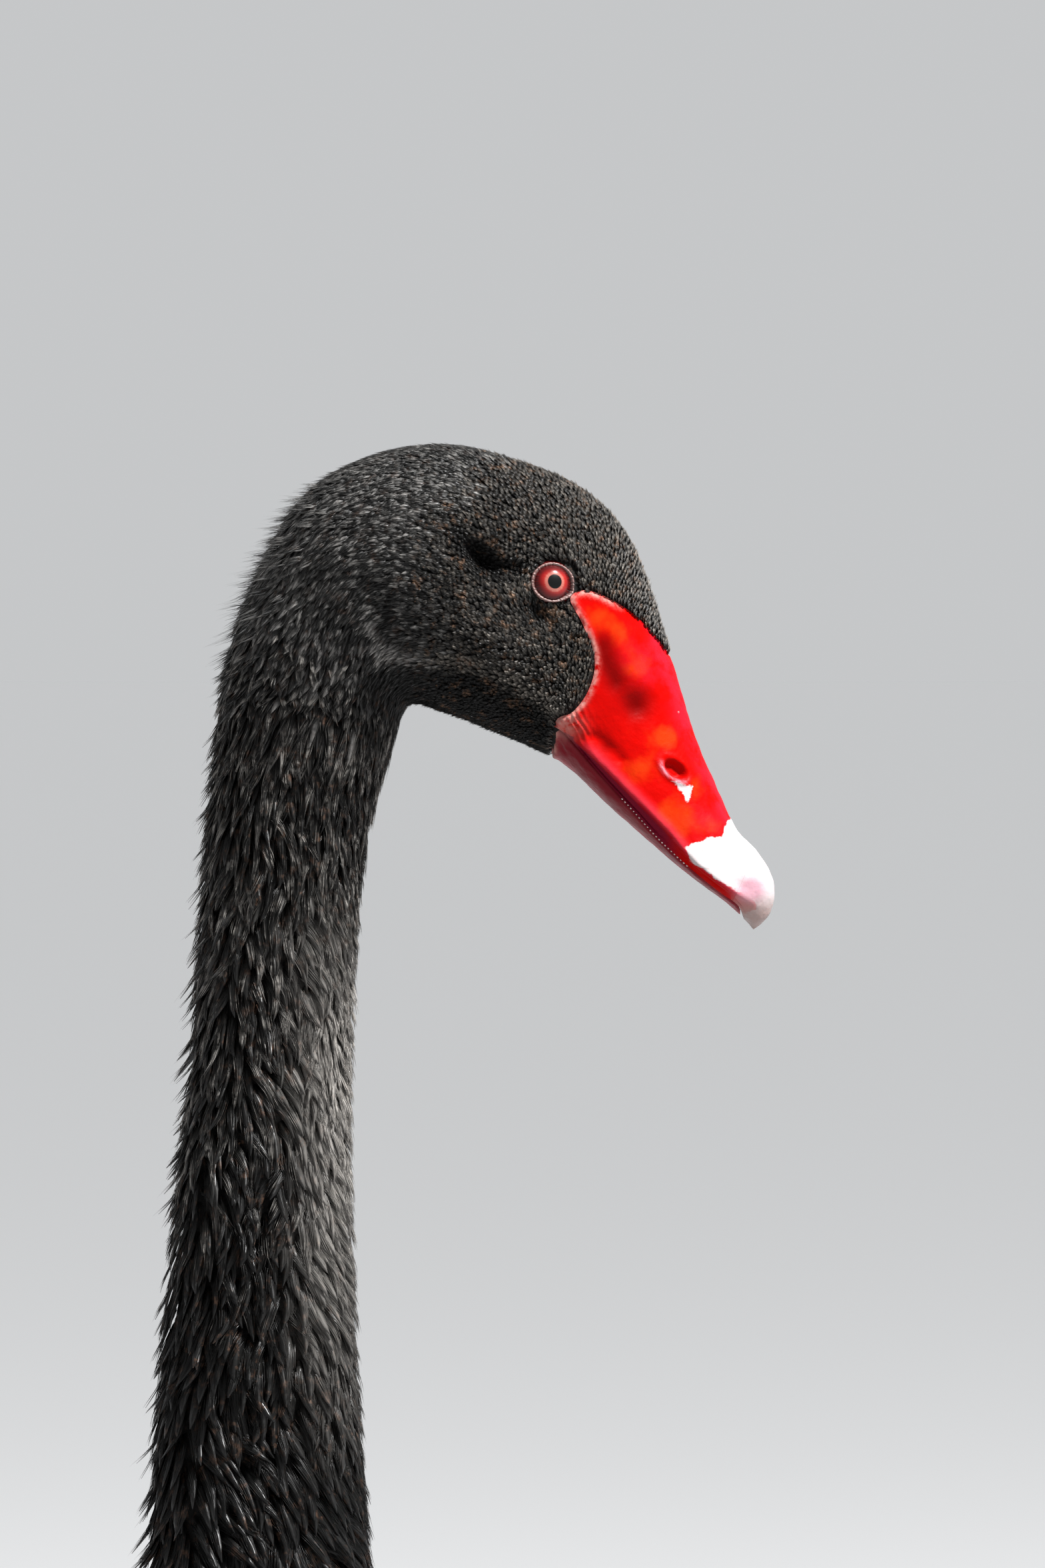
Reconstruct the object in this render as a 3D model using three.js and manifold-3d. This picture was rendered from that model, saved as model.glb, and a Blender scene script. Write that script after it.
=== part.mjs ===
// A black swan sitting on its belly with its neck upright, life size, in millimetres.
// +X is the way the bird faces, +Y is its left side and +Z is up.
// The origin is on the floor, in the middle of the flat under the belly.
import * as THREE from "three";
import { mergeVertices } from "three/addons/utils/BufferGeometryUtils.js";
import Module from "manifold-3d";

const wasm = await Module();
wasm.setup();

// Driving sizes
const GAP = 0.35; // left between two parts that touch
const NECK_SIDES = 22;
const TORSO_SIDES = 28;
const HEAD_SIDES = 26;
const EYE = { x: 220, z: 677, ball: 7.4, bulge: 2.1, lidLong: 5.9, lidHigh: 5.2, lid: 1.1, swell: 3.4 };
const NOSTRIL = { x: 252.9, z: 626.4, long: 4.2, high: 2.6, depth: 4.5 };
const JAW = { end: 268.4, narrow: 0.88 };
const WING = { core: 7.5, coreEnd: 0.76, under: 2.5, rim: 1.6, sink: 3.2, step: 1.6, lift: 5, midGap: 0.6 };
const VANE = { edge: 0.6, shaft: 0.9 };
const TAIL = { count: 13, length: 118, width: 27, fan: 31, step: 1.15, droop: 14, rootX: -258, rootZ: 141 };
const QUILLS = { x: -272, halfWidth: 12, arch: 0.0022 }; // where the tail feathers come out
const LEG = { side: 74, heel: -112, shank: 96, thick: 10.5, toe: 104, splay: 19, web: 2.6 };

// Cross-sections of the bird, from behind the tail to the tip of the bill. Each has the
// point on the back line (x, z), the point on the underside (x, z), half the width, how
// far down from the back the widest line lies, and the squareness above and below it.
const SECTIONS = [
  ["wing tips", -352, 166, -352, 126, 46, 0.5, 2.0, 2.0],
  ["over the tail", -302, 166, -302, 122, 52, 0.5, 2.0, 2.0],
  ["tail root", -258, 167, -258, 117, 57, 0.5, 2.0, 2.1],
  ["rump", -236, 173, -231, 98, 68, 0.5, 2.0, 2.1],
  ["vent", -212, 181, -196, 68, 81, 0.5, 2.1, 2.2],
  ["hind belly", -184, 191, -156, 31, 96, 0.51, 2.1, 2.2],
  ["behind the legs", -154, 201, -110, 4, 108, 0.52, 2.1, 2.3],
  ["legs", -122, 209, -55, -2.6, 115, 0.53, 2.1, 2.3],
  ["belly", -92, 215, 15, -2.6, 117, 0.54, 2.1, 2.3],
  ["keel", -65, 219, 78, -0.6, 117, 0.54, 2.1, 2.3],
  ["low breast", -40, 222, 131, 21, 114, 0.53, 2.1, 2.2],
  ["breast", -14, 226, 174, 59, 107, 0.52, 2.1, 2.2],
  ["high breast", 12, 233, 202, 112, 97, 0.5, 2.1, 2.1],
  ["crop", 38, 245, 212, 170, 82, 0.5, 2.0, 2.0],
  ["shoulders", 62, 265, 208, 224, 66, 0.5, 2.0, 2.0],
  ["neck base", 82, 296, 198, 275, 51, 0.5, 2.0, 2.0],
  ["low neck", 97, 335, 186, 324, 40, 0.5, 2.0, 2.0],
  ["lower neck", 105, 372, 176, 368, 33, 0.5, 2.0, 2.0],
  ["foot of the view", 110.5, 411, 170.5, 411, 28.5, 0.5, 2.0, 2.0],
  ["middle neck", 115, 475, 166.3, 475, 24.6, 0.5, 2.0, 2.0],
  ["upper neck", 121.5, 540, 165, 540, 21.4, 0.5, 2.0, 2.0],
  ["top of the neck", 126, 600, 168.2, 600, 20.7, 0.5, 2.0, 2.0],
  ["nape", 129.5, 634, 175.8, 632, 23, 0.5, 2.0, 2.0],
  ["throat", 131.5, 652, 179, 641.5, 25.2, 0.5, 2.0, 2.0],
  ["back of the head", 139.5, 677, 181.5, 644.3, 27.2, 0.5, 2.1, 2.1],
  ["hind crown", 153, 700.5, 185, 644.2, 28.4, 0.52, 2.1, 2.1],
  ["crown", 171, 712, 189.5, 642.6, 28.8, 0.55, 2.1, 2.2],
  ["cheek", 192, 715.3, 196, 640.4, 28.2, 0.58, 2.0, 2.2],
  ["behind the eye", 212, 710, 203.5, 637.3, 26.6, 0.6, 1.9, 2.2],
  ["brow", 229, 701.3, 211, 634.3, 23.6, 0.62, 1.8, 2.2],
  ["forehead", 241.3, 687.3, 217, 631.6, 20.2, 0.64, 1.75, 2.2],
  ["bill base", 250.5, 662, 221, 629.2, 17.3, 0.72, 1.7, 2.2],
  ["gape", 254, 650, 226.5, 625, 16, 0.8, 1.75, 2.2],
  ["bill", 258.6, 635.2, 235, 616.8, 15, 0.8, 1.85, 2.2],
  ["nostrils", 264.3, 621.7, 246, 607, 14.2, 0.8, 2.0, 2.2],
  ["band", 269.6, 610.5, 256, 598.6, 14.3, 0.8, 2.1, 2.2],
  ["nail", 275.8, 603.7, 264.8, 592, 13.2, 0.8, 2.1, 2.2],
  ["hook", 280, 595.5, 269.5, 588.2, 9.8, 0.8, 2.1, 2.2],
  ["nail tip", 279, 588.2, 272.6, 585, 5.4, 0.7, 2.0, 2.0],
  ["very tip", 276.4, 584.7, 274.2, 583.2, 1.8, 0.5, 2.0, 2.0],
];
const at = (name) => SECTIONS.findIndex((row) => row[0] === name);

// The line in side view where the feathers end and the bare bill begins, from the
// forehead back to the eye, round the cheek and down to the chin (x, z).
const FEATHER_LINE = [
  [251.6, 657.6],
  [244.3, 666.2],
  [236.6, 671.9],
  [229.6, 674.2],
  [226.0, 671.2],
  [227.6, 666.6],
  [230.6, 659.6],
  [231.2, 653.4],
  [229.2, 647.2],
  [225.4, 642.2],
  [220.8, 639.6],
  [219.6, 630.4],
];
// The line of the closed mouth in side view, from the gape to the hook (x, z).
const MOUTH_LINE = [
  [219.2, 638.8],
  [223.8, 635.6],
  [232.8, 625.2],
  [240.0, 617.4],
  [248.1, 608.4],
  [256.2, 600.7],
  [264.2, 594.0],
  [269.8, 590.0],
  [271.6, 586.2],
];
const NAIL_EDGE = [
  [274.6, 607.5],
  [272.6, 600.0],
  [268.0, 590.0],
];

const rad = THREE.MathUtils.degToRad;
const mix = THREE.MathUtils.lerp;
const clamp = THREE.MathUtils.clamp;
const smooth = (x) => THREE.MathUtils.smoothstep(x, 0, 1);

// A repeatable random number between -1 and 1.
function seeded(seed) {
  let state = seed;
  return () => {
    state = (state * 1664525 + 1013904223) % 4294967296;
    return (state / 4294967296) * 2 - 1;
  };
}

// Surfaces

// The cross-section at t, counted in rows of SECTIONS, on a smooth curve through them.
function sectionAt(t) {
  const last = SECTIONS.length - 1;
  const i = clamp(Math.floor(t), 0, last - 1);
  const u = t - i;
  const row = (k) => SECTIONS[clamp(k, 0, last)];
  return SECTIONS[0].slice(1).map((_, c) => {
    const [p, q, r, s] = [row(i - 1), row(i), row(i + 1), row(i + 2)].map((v) => v[c + 1]);
    return q + 0.5 * u * (r - p + u * (2 * p - 5 * q + 4 * r - s + u * (3 * (q - r) + s - p)));
  });
}

// A point of the body's surface: angle 0 is the back line and 90 the left side.
function bodyPoint(t, degrees, widthScale = 1) {
  const [dx, dz, vx, vz, half, share, above, below] = sectionAt(t);
  const c = Math.cos(rad(degrees));
  const s = Math.sin(rad(degrees));
  const power = 2 / (c >= 0 ? above : below);
  const reach = Math.sign(c) * Math.abs(c) ** power;
  const cx = mix(dx, vx, share);
  const cz = mix(dz, vz, share);
  const towards = reach >= 0 ? [dx - cx, dz - cz] : [cx - vx, cz - vz];
  const y = widthScale * half * Math.sign(s) * Math.abs(s) ** power;
  return new THREE.Vector3(cx + reach * towards[0], y, cz + reach * towards[1]);
}

function bodyNormal(t, degrees) {
  const [dt, da] = [0.02, 1];
  const along = bodyPoint(t + dt, degrees).sub(bodyPoint(t - dt, degrees));
  const round = bodyPoint(t, degrees + da).sub(bodyPoint(t, degrees - da));
  return along.cross(round).normalize();
}

// Solids

// Vertex and triangle arrays to a solid.
function toSolid(points, triangles) {
  return new wasm.Manifold(
    new wasm.Mesh({
      numProp: 3,
      vertProperties: Float32Array.from(points.flatMap((p) => [p.x, p.y, p.z])),
      triVerts: Uint32Array.from(triangles.flat()),
    }),
  );
}

// A three.js geometry to a solid.
function fromGeometry(geometry) {
  const plain = geometry.clone();
  for (const name of ["normal", "uv", "color"]) plain.deleteAttribute(name);
  const merged = mergeVertices(plain, 1e-4);
  return new wasm.Manifold(
    new wasm.Mesh({
      numProp: 3,
      vertProperties: merged.attributes.position.array,
      triVerts: new Uint32Array(merged.index.array),
    }),
  );
}

// Closed rings of points, joined in order and closed at both ends by a fan. The second
// half of each ring is split the other way, so that the two sides of the bird are alike.
function loft(rings) {
  const n = rings[0].length;
  const points = rings.flat();
  const triangles = [];
  for (let r = 0; r + 1 < rings.length; r++) {
    for (let k = 0; k < n; k++) {
      const [a, b] = [r * n + k, r * n + ((k + 1) % n)];
      if (k < n / 2) triangles.push([a, b, a + n], [b, b + n, a + n]);
      else triangles.push([a, b, b + n], [a, b + n, a + n]);
    }
  }
  for (const [ring, first] of [[0, 0], [rings.length - 1, (rings.length - 1) * n]]) {
    const middle = points.length;
    const sum = rings[ring].reduce((m, p) => m.add(p), new THREE.Vector3());
    points.push(sum.multiplyScalar(1 / n));
    for (let k = 0; k < n; k++) {
      const [a, b] = [first + k, first + ((k + 1) % n)];
      triangles.push(ring === 0 ? [b, a, middle] : [a, b, middle]);
    }
  }
  const solid = toSolid(points, triangles);
  if (solid.volume() > 0) return solid;
  return toSolid(points, triangles.map(([a, b, c]) => [a, c, b]));
}

// Evenly spaced places along the body, both ends included.
function places(from, to, steps) {
  return Array.from({ length: steps + 1 }, (_, i) => mix(from, to, i / steps));
}

// The body's surface through rings at some places, grown by a thickness.
function bodyThrough(stops, sides, grow = 0, widthScale = 1) {
  const rings = stops.map((t) =>
    Array.from({ length: sides }, (_, k) => {
      const angle = (360 * k) / sides;
      const p = bodyPoint(t, angle, widthScale);
      return grow ? p.addScaledVector(bodyNormal(t, angle), grow) : p;
    }),
  );
  return loft(rings);
}

// A block that covers a side-view outline across the whole width of the bird.
function sideBlock(outline) {
  const width = 400;
  const shape = new THREE.Shape(outline.map(([x, z]) => new THREE.Vector2(x, z)));
  const block = new THREE.ExtrudeGeometry(shape, { depth: width, bevelEnabled: false });
  block.rotateX(Math.PI / 2).translate(0, width / 2, 0);
  return fromGeometry(block);
}

function box(x0, x1, y0, y1, z0, z1) {
  const g = new THREE.BoxGeometry(x1 - x0, y1 - y0, z1 - z0);
  return fromGeometry(g.translate((x0 + x1) / 2, (y0 + y1) / 2, (z0 + z1) / 2));
}

function ellipsoid(centre, radii, across = 20, high = 12) {
  const g = new THREE.SphereGeometry(1, across, high).scale(...radii);
  return fromGeometry(g.translate(...centre));
}

// A side-view line drawn smooth, and moved sideways by a distance.
function smoothLine(points, count, shift = 0) {
  const curve = new THREE.SplineCurve(points.map(([x, z]) => new THREE.Vector2(x, z)));
  return Array.from({ length: count + 1 }, (_, i) => {
    const p = curve.getPoint(i / count);
    const d = curve.getTangent(i / count);
    return [p.x - d.y * shift, p.y + d.x * shift];
  });
}

// The largest closed body of a solid.
function largest(solid) {
  const bodies = solid.decompose();
  return bodies.reduce((best, body) => (body.volume() > best.volume() ? body : best));
}

const joined = (solids) => largest(wasm.Manifold.union(solids));

function mirrored(solid) {
  return solid.mirror([0, 1, 0]);
}

const model = new THREE.Group();

function addNode(name, solid, material) {
  const kept = largest(solid);
  const { numProp, numVert, vertProperties, triVerts } = kept.getMesh();
  const position = new Float32Array(numVert * 3);
  for (let i = 0; i < numVert; i++) {
    position.set(vertProperties.subarray(i * numProp, i * numProp + 3), i * 3);
  }
  const geometry = new THREE.BufferGeometry();
  geometry.setAttribute("position", new THREE.BufferAttribute(position, 3));
  geometry.setIndex(new THREE.BufferAttribute(triVerts, 1));
  const mesh = new THREE.Mesh(geometry, material);
  mesh.name = name;
  model.add(mesh);
}

// Materials
const finish = (color, roughness) => new THREE.MeshStandardMaterial({ color, roughness, metalness: 0 });
const plumage = finish(0x171514, 0.62);
const wingFeather = finish(0x1b1918, 0.55);
const billRed = finish(0xc8160e, 0.3);
const jawRed = finish(0x8c1620, 0.35);
const nailHorn = finish(0xd9b3a0, 0.32);
const iris = finish(0xb3261c, 0.1);
const legSkin = finish(0x201d1c, 0.5);

// Torso and neck

const [tailCut, neckCut] = [at("tail root"), at("low neck")];
const [lowCut, midCut, headCut] = [at("foot of the view") + 0.4, at("upper neck") - 0.2, at("nape")];
const slit = 0.004; // half the cut between two lengths, as a share of a section step
const underFloor = box(-400, 300, -200, 200, -60, 0);

const torsoPlaces = places(tailCut + slit, neckCut - slit, 22);
const torsoBody = bodyThrough(torsoPlaces, TORSO_SIDES);
const torsoSkin = bodyThrough([tailCut - 1, ...torsoPlaces, neckCut + 0.3], TORSO_SIDES, GAP);
addNode("torso", torsoBody.subtract(underFloor), plumage);
addNode("neck_lower", bodyThrough(places(neckCut + slit, lowCut - slit, 5), NECK_SIDES), plumage);
addNode("neck_middle", bodyThrough(places(lowCut + slit, midCut - slit, 5), NECK_SIDES), plumage);
addNode("neck_upper", bodyThrough(places(midCut + slit, headCut - slit, 6), NECK_SIDES), plumage);

// Head and bill

const headToTip = bodyThrough(places(headCut + slit, SECTIONS.length - 1, 32), HEAD_SIDES);
const belowBill = 560;
const outsideBill = [[214, belowBill], [310, belowBill], [310, 662]];
const billBlock = sideBlock([...smoothLine(FEATHER_LINE, 30, 0), ...outsideBill]);
const billHollow = sideBlock([...smoothLine(FEATHER_LINE, 30, -GAP), ...outsideBill]);

// The lids stand as a ring round each eye, and the eyeball sits inside them.
function eyeCentre(depth) {
  let best = null;
  for (let t = at("cheek"); t < at("bill base"); t += 0.02) {
    for (let a = 40; a < 110; a += 1) {
      const p = bodyPoint(t, a);
      const off = Math.hypot(p.x - EYE.x, p.z - EYE.z);
      if (!best || off < best.off) best = { off, p, n: bodyNormal(t, a) };
    }
  }
  const look = new THREE.Vector3(0.85 * best.n.x, best.n.y, 0.85 * best.n.z).normalize();
  return { p: best.p.clone().addScaledVector(look, -depth), n: look };
}

function eyeball(grow) {
  const { p } = eyeCentre(EYE.ball - EYE.bulge);
  const r = EYE.ball + grow;
  return ellipsoid(p.toArray(), [r, r, r], 15, 8);
}

// A low swelling of the head round the eye, with the rim of the lids on it.
function lidRing() {
  const { p, n } = eyeCentre(0.1);
  const ring = new THREE.TorusGeometry(1, EYE.lid / EYE.lidLong, 6, 18);
  ring.scale(EYE.lidLong, EYE.lidHigh, EYE.lidLong * 1.1);
  const swelling = new THREE.SphereGeometry(1, 18, 10).rotateX(Math.PI / 2);
  swelling.scale(EYE.lidLong * 1.7, EYE.lidHigh * 1.6, EYE.swell).translate(0, 0, -EYE.swell * 0.8);
  const face = new THREE.Matrix4().lookAt(n, new THREE.Vector3(), new THREE.Vector3(0, 0, 1));
  const pieces = [ring, swelling].map((g) => fromGeometry(g.applyMatrix4(face).translate(p.x, p.y, p.z)));
  return pieces[0].add(pieces[1]);
}

const lids = lidRing();
const headSolid = headToTip
  .add(lids)
  .add(mirrored(lids))
  .subtract(billHollow)
  .subtract(eyeball(GAP))
  .subtract(mirrored(eyeball(GAP)));
addNode("head", headSolid, plumage);
addNode("eye_left", eyeball(0), iris);
addNode("eye_right", mirrored(eyeball(0)), iris);

const [gape, mouthEnd] = [MOUTH_LINE[0], MOUTH_LINE[MOUTH_LINE.length - 1]];
const belowMouth = (shift) => {
  const line = smoothLine(MOUTH_LINE, 24, shift);
  const behind = gape[0] - 20;
  return sideBlock([...line, [mouthEnd[0], belowBill], [behind, belowBill], [behind, gape[1] + shift]]);
};
const aboveMouth = belowMouth(0.25);
const jawSpace = belowMouth(-0.25);
const nailLine = (shift) => smoothLine(NAIL_EDGE, 8, shift);
const beyondNail = [[268, 570], [300, 570], [300, 612]];
const nailBlock = (shift) => sideBlock([...nailLine(shift), ...beyondNail]);

// Each nostril is a slanting oval pit in the side of the bill.
function nostril(side) {
  const pit = new THREE.SphereGeometry(1, 12, 8);
  pit.scale(NOSTRIL.long, NOSTRIL.depth, NOSTRIL.high);
  pit.rotateY(rad(48));
  const surface = at("nostrils") - 0.35;
  const skin = bodyPoint(surface, 62).y;
  return fromGeometry(pit.translate(NOSTRIL.x, side * (skin + 1.2), NOSTRIL.z));
}

const upperBill = headToTip
  .intersect(billBlock)
  .subtract(aboveMouth)
  .subtract(nostril(1))
  .subtract(nostril(-1));
addNode("bill_upper", upperBill.subtract(nailBlock(-GAP)), billRed);
addNode("bill_nail", upperBill.intersect(nailBlock(0)), nailHorn);

const narrowJaw = bodyThrough(places(at("forehead"), at("hook"), 14), HEAD_SIDES, 0, JAW.narrow);
const pastJaw = box(JAW.end, 300, -40, 40, belowBill, 660);
const lowerBill = narrowJaw.intersect(billBlock).intersect(jawSpace).subtract(pastJaw);
addNode("bill_lower", lowerBill, jawRed);

// Feather vanes

// A vane: rows of points from root to tip, three across, with a thicker shaft. The top
// and bottom faces are split into triangles alike, so that they never cross.
function vane(pointAt, segments) {
  const points = [];
  const triangles = [];
  const width = (s) => {
    const open = 0.42 + 0.58 * smooth(s / 0.35);
    return open * (s < 0.72 ? 1 : Math.sqrt(1 - 0.94 * ((s - 0.72) / 0.28) ** 2));
  };
  for (let i = 0; i <= segments; i++) {
    const s = 1 - (1 - i / segments) ** 1.25;
    for (const side of [-1, 0, 1]) {
      const thick = side === 0 ? VANE.shaft : VANE.edge;
      points.push(pointAt(s, side * width(s), 0), pointAt(s, side * width(s), thick));
    }
  }
  const low = (i, j) => i * 6 + j * 2;
  const quad = (a, b, c, d) => triangles.push([a, b, c], [a, c, d]);
  for (let i = 0; i < segments; i++) {
    for (let j = 0; j < 2; j++) {
      const [a, b, c, d] = [low(i, j), low(i, j + 1), low(i + 1, j + 1), low(i + 1, j)];
      triangles.push([a, d, c], [a, c, b]);
      triangles.push([a + 1, c + 1, d + 1], [a + 1, b + 1, c + 1]);
    }
    quad(low(i, 0), low(i, 0) + 1, low(i + 1, 0) + 1, low(i + 1, 0));
    quad(low(i, 2), low(i + 1, 2), low(i + 1, 2) + 1, low(i, 2) + 1);
  }
  for (let j = 0; j < 2; j++) {
    const [a, b] = [low(0, j), low(0, j + 1)];
    quad(a, b, b + 1, a + 1);
    const [c, d] = [low(segments, j), low(segments, j + 1)];
    quad(c, c + 1, d + 1, d);
  }
  const solid = toSolid(points, triangles);
  if (solid.volume() > 0) return solid;
  return toSolid(points, triangles.map(([a, b, c]) => [a, c, b]));
}

// Wings

const WING_FRONT = at("crop") + 0.1;
const WING_BACK = at("wing tips");
// The folded wing as a chart: a runs from the wrist to the tips, b from the low edge up.
const wingT = (a) => mix(WING_FRONT, WING_BACK, a);
const fanOut = (a) => Math.sqrt(clamp(a / 0.24, 0, 1));
const lowEdge = (a) => mix(mix(84, 112, fanOut(a)), 74, smooth((a - 0.4) / 0.5));
const topEdge = (a) => mix(mix(68, 20, fanOut(a)), 5, smooth((a - 0.1) / 0.3));
const wingAngle = (a, b) => mix(lowEdge(a), topEdge(a), b);
const wingBulge = (a, b) => {
  const along = smooth(a / 0.16) * (1 - smooth((a - 0.45) / 0.35));
  const across = Math.sin(Math.PI * clamp(b, 0, 1)) ** 0.6;
  return WING.rim + WING.core * along * across;
};
function wingPoint(a, b, height) {
  const [t, angle] = [wingT(a), wingAngle(a, b)];
  return bodyPoint(t, angle).addScaledVector(bodyNormal(t, angle), height);
}
// A feather laid on the wing from its root (a, b). It covers both neighbours halfway: its
// lower edge lies one step over the one below, and its upper edge goes under the one above.
function wingVane({ a, b, reach, spread, base = 0, curl = 0, wave = 0, lift = WING.lift, segments = 3 }) {
  const pointAt = (s, side, thick) => {
    const [qa, qb] = [a + reach * s, b + side * spread];
    const rise = s < 0.2 ? mix(-WING.sink, 1.2, s / 0.2) : mix(1.2, lift, (s - 0.2) / 0.8);
    const free = clamp((s - 0.5) / 0.5, 0, 1);
    const ripple = wave * free * (1 - Math.cos(free * 2.2 * Math.PI)) * 0.5 * Math.max(0, -side);
    const tilt = -WING.step * side * Math.min(1, s / 0.2);
    return wingPoint(qa, qb, wingBulge(qa, qb) + base + rise + curl * free ** 2 + ripple + tilt + thick);
  };
  return vane(pointAt, segments);
}

// Rows of wing feathers: where the roots run from and to (a, b), how many there are, how
// much of the chart they reach along, and how they bend.
const WING_ROWS = [
  { name: "lesser coverts", from: [0.08, 0.13], to: [0.1, 0.83], count: 5, reach: 0.13 },
  { name: "median coverts", from: [0.17, 0.12], to: [0.19, 0.87], count: 5, reach: 0.15 },
  { name: "greater coverts", from: [0.27, 0.12], to: [0.29, 0.87], count: 5, reach: 0.18, segments: 4 },
  { name: "secondaries", from: [0.38, 0.1], to: [0.4, 0.56], count: 5, reach: 0.25, segments: 4 },
  { name: "primaries", from: [0.52, 0.18], to: [0.54, 0.54], count: 4, reach: 0.42, segments: 5, lift: 3.4 },
  { name: "front tertials", from: [0.42, 0.66], to: [0.43, 0.87], count: 3, reach: 0.22, base: 1.6,
    curl: 10, wave: 7, segments: 4 },
  { name: "hind tertials", from: [0.56, 0.64], to: [0.57, 0.86], count: 3, reach: 0.24, base: 2.2,
    curl: 12, wave: 8, segments: 4 },
];

function wingCore() {
  const [alongSteps, acrossSteps] = [11, 7];
  const rings = [];
  for (let i = 0; i <= alongSteps; i++) {
    const a = mix(0.004, WING.coreEnd, (i / alongSteps) ** 1.4);
    const across = places(0, 1, acrossSteps);
    const over = across.map((b) => wingPoint(a, b, wingBulge(a, b)));
    const below = across.map((b) => wingPoint(a, b, -WING.under));
    rings.push([...over, ...below.reverse()]);
  }
  return loft(rings);
}

function wing(seed) {
  const vary = seeded(seed);
  const pieces = [wingCore()];
  for (const { from, to, count, reach, ...rest } of WING_ROWS) {
    for (let i = 0; i < count; i++) {
      const share = i / (count - 1);
      pieces.push(
        wingVane({
          ...rest,
          spread: (to[1] - from[1]) / (count - 1),
          a: mix(from[0], to[0], share),
          b: mix(from[1], to[1], share),
          reach: reach * (1 + 0.03 * vary()),
        }),
      );
    }
  }
  const ownSide = box(-420, 260, WING.midGap, 200, 20, 420);
  return joined(pieces).intersect(ownSide).subtract(torsoSkin);
}

const leftWing = wing(7);
const rightWing = mirrored(wing(19));
addNode("wing_left", leftWing, wingFeather);
addNode("wing_right", rightWing, wingFeather);

// Tail

function tailVane(angle, length, height) {
  const direction = [-Math.cos(rad(angle)), Math.sin(rad(angle))];
  const rootY = QUILLS.halfWidth * Math.sin(rad(angle * 1.6));
  const pointAt = (s, side, thick) => {
    const across = (side * TAIL.width) / 2;
    const x = QUILLS.x + direction[0] * length * s - direction[1] * across;
    const y = rootY + direction[1] * length * s + direction[0] * across;
    const arch = QUILLS.arch * y * y;
    const droop = TAIL.droop * s * (length / TAIL.length) ** 2 * (1 + 0.3 * s);
    return new THREE.Vector3(x, y, TAIL.rootZ + height - arch - droop + thick);
  };
  return vane(pointAt, 3);
}

// The fleshy root of the tail goes on from the torso's end and thins out to a wedge.
function tailCore() {
  const [steps, sides] = [5, 20];
  const rings = places(0, 1, steps).map((s) =>
    Array.from({ length: sides }, (_, k) => {
      const angle = (360 * k) / sides;
      const start = bodyPoint(tailCut - slit, angle, 0.985);
      const c = Math.cos(rad(angle));
      const end = new THREE.Vector3(TAIL.rootX - 60, 20 * Math.sin(rad(angle)), TAIL.rootZ - 6 + 3.3 * c);
      const eased = new THREE.Vector3(s, smooth(s), smooth(s ** 0.8));
      return end.sub(start).multiply(eased).add(start);
    }),
  );
  return loft(rings);
}

function tail() {
  const vary = seeded(5);
  const middle = (TAIL.count - 1) / 2;
  const pieces = [tailCore()];
  for (let i = 0; i < TAIL.count; i++) {
    const off = (i - middle) / middle;
    const length = TAIL.length * (1 - 0.2 * off * off + 0.02 * vary());
    pieces.push(tailVane(off * TAIL.fan, length, -Math.abs(i - middle) * TAIL.step));
  }
  return joined(pieces);
}

addNode("tail", tail().subtract(leftWing).subtract(rightWing), wingFeather);

// Legs and feet, tucked under the flanks

// A tapered round bar through some points, each with its own half width and half height.
function bar(stops, sides = 10) {
  return loft(
    stops.map(([x, y, z, half, high]) =>
      Array.from({ length: sides }, (_, k) => {
        const angle = rad((360 * k) / sides);
        return new THREE.Vector3(x, y + half * Math.sin(angle), z + high * Math.cos(angle));
      }),
    ),
  );
}

function leg() {
  const r = LEG.thick / 2;
  const front = LEG.heel + LEG.shank;
  const shank = bar([
    [LEG.heel - 9, LEG.side, 5, r * 0.6, r * 0.6],
    [LEG.heel - 4, LEG.side, 6, r * 1.2, r * 1.15],
    [LEG.heel + 6, LEG.side, 6.2, r * 1.3, r * 1.25],
    [LEG.heel + 18, LEG.side, 5, r * 0.95, r],
    [front - 14, LEG.side, 4.6, r * 0.85, r * 0.95],
    [front - 0.3, LEG.side, 4.6, r * 1.05, r],
  ]);
  const thigh = loft(
    [0, 1, 2, 3].map((i) =>
      Array.from({ length: 12 }, (_, k) => {
        const angle = rad((360 * k) / 12);
        const reach = mix(r * 1.2, 19, i / 3);
        const x = LEG.heel + 4 + 5 * i + reach * Math.cos(angle);
        return new THREE.Vector3(x, LEG.side - 2 * i + reach * 0.8 * Math.sin(angle), 7 + 9 * i);
      }),
    ),
  );
  return shank.add(thigh).subtract(torsoSkin).subtract(underFloor);
}

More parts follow.
